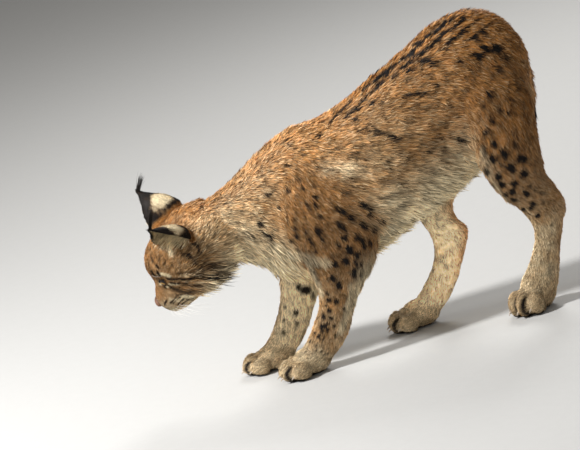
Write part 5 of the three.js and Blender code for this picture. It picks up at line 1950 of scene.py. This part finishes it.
class LYNX_OT_ears(bpy.types.Operator):
    """Makes the cups of the ears, their fur and their tufts."""

    bl_idname = "lynx.ears"
    bl_label = "Ears"

    def execute(self, context):
        for side, name in ((1, "left"), (-1, "right")):
            ear = ear_surface(side)
            marks = np.hstack([ear.fields["marks"], np.full((len(ear.points), 1), EAR_BRIGHT)])
            finish = coat_finish("skin", True)
            new_piece(name + "_ear_cup", ear.points, ear.faces, finish, [name + "_ear"], marks)
            everywhere = np.ones(len(ear.faces))
            fur(name + "_ear_fur", ear, everywhere, 60 + side, "dark_coat", waves=0.15)
            lining, wanted = ear_lining(side)
            fur(name + "_ear_hair", lining, wanted, 70 + side, "pale_coat", is_long=True)
            points, faces = ear_tuft(side)
            marks = np.tile([1.0, 0, 0, 1], (len(points), 1))
            new_piece(name + "_ear_tuft", points, faces, coat_finish("fur"), (), marks)
        return {"FINISHED"}


LONG_COAT = 25  # fur of the trunk from this length on is the underside's
SHORT_COAT = 11  # fur of the head up to this length is the face's
# The pieces of the body's coat: the part, and from and up to which t.
BODY_PIECES = {
    "coat_neck": ("trunk", 0.0, 0.27),
    "coat_shoulders": ("trunk", 0.27, 0.43),
    "coat_ribs": ("trunk", 0.43, 0.58),
    "coat_flanks": ("trunk", 0.58, 0.72),
    "coat_rump": ("trunk", 0.72, 1.01),
    "coat_left_foreleg": ("left_foreleg", 0, 1.01),
    "coat_right_foreleg": ("right_foreleg", 0, 1.01),
    "coat_left_hind_leg": ("left_hind_leg", 0, 1.01),
    "coat_right_hind_leg": ("right_hind_leg", 0, 1.01),
    "coat_tail": ("tail", 0, 1.01),
}


def hidden_in_head(skin):
    """True for the triangles of the body whose middle lies more than 1 mm under the head's skin."""
    centre = to_head(skin.points[skin.faces].mean(axis=1))
    inside = np.zeros(len(centre), bool)
    near = np.linalg.norm(centre, axis=1) < 110
    t, angle, gap, _ = place_on(HEAD_TUBE, centre[near], head_depth)
    outwards = dot(gap, unit(HEAD_TUBE.at(t, angle) - HEAD_TUBE.middle(t)))
    inside[near] = (outwards < -1) & (t > 0.02) & (t < 0.98)
    return inside


class LYNX_OT_body_coat(bpy.types.Operator):
    """Makes the fur of the trunk, the legs and the tail."""

    bl_idname = "lynx.body_coat"
    bl_label = "Coat of the body"

    def execute(self, context):
        skin = body_surface()
        shown = ~hidden_in_head(skin) & (skin.points[skin.faces][..., 2].max(axis=1) > ROOTS_RISE)
        part = skin.fields["part"][skin.faces[:, 0]]
        length = skin.fields["length"][skin.faces].mean(axis=1)
        is_under = (length > LONG_COAT) & (part == TRUNK_ROW)
        names = list(PARTS)
        for number, (name, (wanted, low, high)) in enumerate(BODY_PIECES.items()):
            k = names.index(wanted)
            t = skin.fields["places"][k, skin.faces[:, 0], 0]
            here = shown & ~is_under & (part == k) & (t >= low) & (t < high)
            fur(name, skin, here, number, "coat")
        fur("coat_underside", skin, shown & is_under, 31, "pale_coat", is_long=True, density=0.7)
        fur("coat_paws", skin, shown & (part == PAW_ROW), 30, "pale_coat", density=0.92)
        return {"FINISHED"}


class LYNX_OT_head_coat(bpy.types.Operator):
    """Makes the fur of the face, the crown and the ruff."""

    bl_idname = "lynx.head_coat"
    bl_label = "Coat of the head"

    def execute(self, context):
        skin = head_surface()
        length = skin.fields["length"][skin.faces].mean(axis=1)
        fur("coat_face", skin, length < SHORT_COAT, 50, "coat", width=0.82, density=1.35, waves=0.2)
        fur("coat_ruff", skin, length >= SHORT_COAT, 51, "pale_coat", is_long=True)
        return {"FINISHED"}


class LYNX_OT_whiskers(bpy.types.Operator):
    """Makes the whiskers."""

    bl_idname = "lynx.whiskers"
    bl_label = "Whiskers"

    def execute(self, context):
        points, faces = whiskers()
        tone = context.scene.lynx_colours.whisker
        new_piece("whiskers", points, faces, plain_finish("whisker", tone, 0.4, 300))
        return {"FINISHED"}


class LYNX_OT_claws(bpy.types.Operator):
    """Makes the claws."""

    bl_idname = "lynx.claws"
    bl_label = "Claws"

    def execute(self, context):
        points, faces = claws()
        tone = context.scene.lynx_colours.claw
        new_piece("claws", points, faces, plain_finish("claw", tone, 0.35, 400))
        return {"FINISHED"}


def new_floor():
    """A flat square floor of four equal squares, just under the paws."""
    line = np.linspace(-FLOOR_HALF, FLOOR_HALF, 3)
    x, y = np.meshgrid(line, line, indexing="ij")
    points = np.stack([x, y, 0 * x - FLOOR_BELOW], axis=-1).reshape(-1, 3) / MM - SHIFT
    i = np.array([0, 1, 3, 4])
    faces = np.vstack([np.stack([i, i + 3, i + 4], 1), np.stack([i, i + 4, i + 1], 1)])
    floor = bpy.data.objects.new("floor", new_mesh("floor", points, faces))
    tone = bpy.context.scene.lynx_colours.floor
    floor.data.materials.append(plain_finish("floor", tone, 0.9, 40, 0.02))
    bpy.context.scene.collection.objects.link(floor)


def new_lamps():
    """Square lamps that face the lynx, and the even light of the sky."""
    scene = bpy.context.scene
    for name, place, share, size in LAMPS:
        light = bpy.data.lights.new(name, "AREA")
        light.energy = scene.lynx_stage.key * share
        light.size = size
        lamp = bpy.data.objects.new(name, light)
        lamp.location = place
        way = Vector(metres(LAMPS_AIM)) - Vector(place)
        lamp.rotation_euler = way.to_track_quat("-Z", "Y").to_euler()
        scene.collection.objects.link(lamp)
    world = bpy.data.worlds.new("studio")
    world.use_nodes = True
    sky = world.node_tree.nodes["Background"]
    sky.inputs["Color"].default_value = SKY_TONE
    sky.inputs["Strength"].default_value = scene.lynx_stage.sky
    scene.world = world


def new_camera():
    """The camera on its axes, at its distance behind the place that it aims at. Its lens makes the
    sensor's breadth the view's."""
    scene = bpy.context.scene
    stage = scene.lynx_stage
    lens = bpy.data.cameras.new("camera")
    lens.sensor_width = SENSOR
    lens.lens = SENSOR * stage.distance / stage.width
    lens.clip_end = 100
    right, above, back = camera_axes()
    turned = np.eye(4)
    turned[:3, :3] = np.stack([right, above, back], axis=1)
    turned[:3, 3] = metres(CAMERA_AIM) + back * stage.distance
    camera = bpy.data.objects.new("camera", lens)
    camera.matrix_world = Matrix(turned.tolist())
    scene.collection.objects.link(camera)
    scene.camera = camera


class LYNX_OT_stage(bpy.types.Operator):
    """Makes the floor, the lights and the camera."""

    bl_idname = "lynx.stage"
    bl_label = "Stage"

    def execute(self, context):
        new_floor()
        new_lamps()
        new_camera()
        context.scene.view_settings.view_transform = "Standard"
        return {"FINISHED"}


class LYNX_PT_panel(bpy.types.Panel):
    """The lynx in the 3D view's sidebar."""

    bl_idname = "LYNX_PT_panel"
    bl_label = "Eurasian lynx"
    bl_space_type = "VIEW_3D"
    bl_region_type = "UI"
    bl_category = "Lynx"

    def draw(self, context):
        for group in (context.scene.lynx_colours, context.scene.lynx_coat, context.scene.lynx_stage):
            column = self.layout.column(align=True)
            for name in group.__annotations__:
                column.prop(group, name)
        for operator in OPERATORS:
            self.layout.operator(operator.bl_idname)


OPERATORS = [
    LYNX_OT_stage, LYNX_OT_skin, LYNX_OT_eyes, LYNX_OT_nose, LYNX_OT_ears, LYNX_OT_body_coat,
    LYNX_OT_head_coat, LYNX_OT_whiskers, LYNX_OT_claws,
]
GROUPS = {"lynx_colours": LynxColours, "lynx_coat": LynxCoat, "lynx_stage": LynxStage}


def register():
    """Registers the classes and ties each group of settings to the scene."""
    for group in (*GROUPS.values(), *OPERATORS, LYNX_PT_panel):
        bpy.utils.register_class(group)
    for name, group in GROUPS.items():
        setattr(bpy.types.Scene, name, PointerProperty(type=group))


def unregister():
    """Undoes register."""
    for name in GROUPS:
        delattr(bpy.types.Scene, name)
    for group in (LYNX_PT_panel, *reversed(OPERATORS), *GROUPS.values()):
        bpy.utils.unregister_class(group)


def main():
    """Makes every piece."""
    register()
    bpy.ops.lynx.stage()
    bpy.ops.lynx.skin()
    bpy.ops.lynx.eyes()
    bpy.ops.lynx.nose()
    bpy.ops.lynx.ears()
    bpy.ops.lynx.body_coat()
    bpy.ops.lynx.head_coat()
    bpy.ops.lynx.whiskers()
    bpy.ops.lynx.claws()


if __name__ == "__main__":
    main()
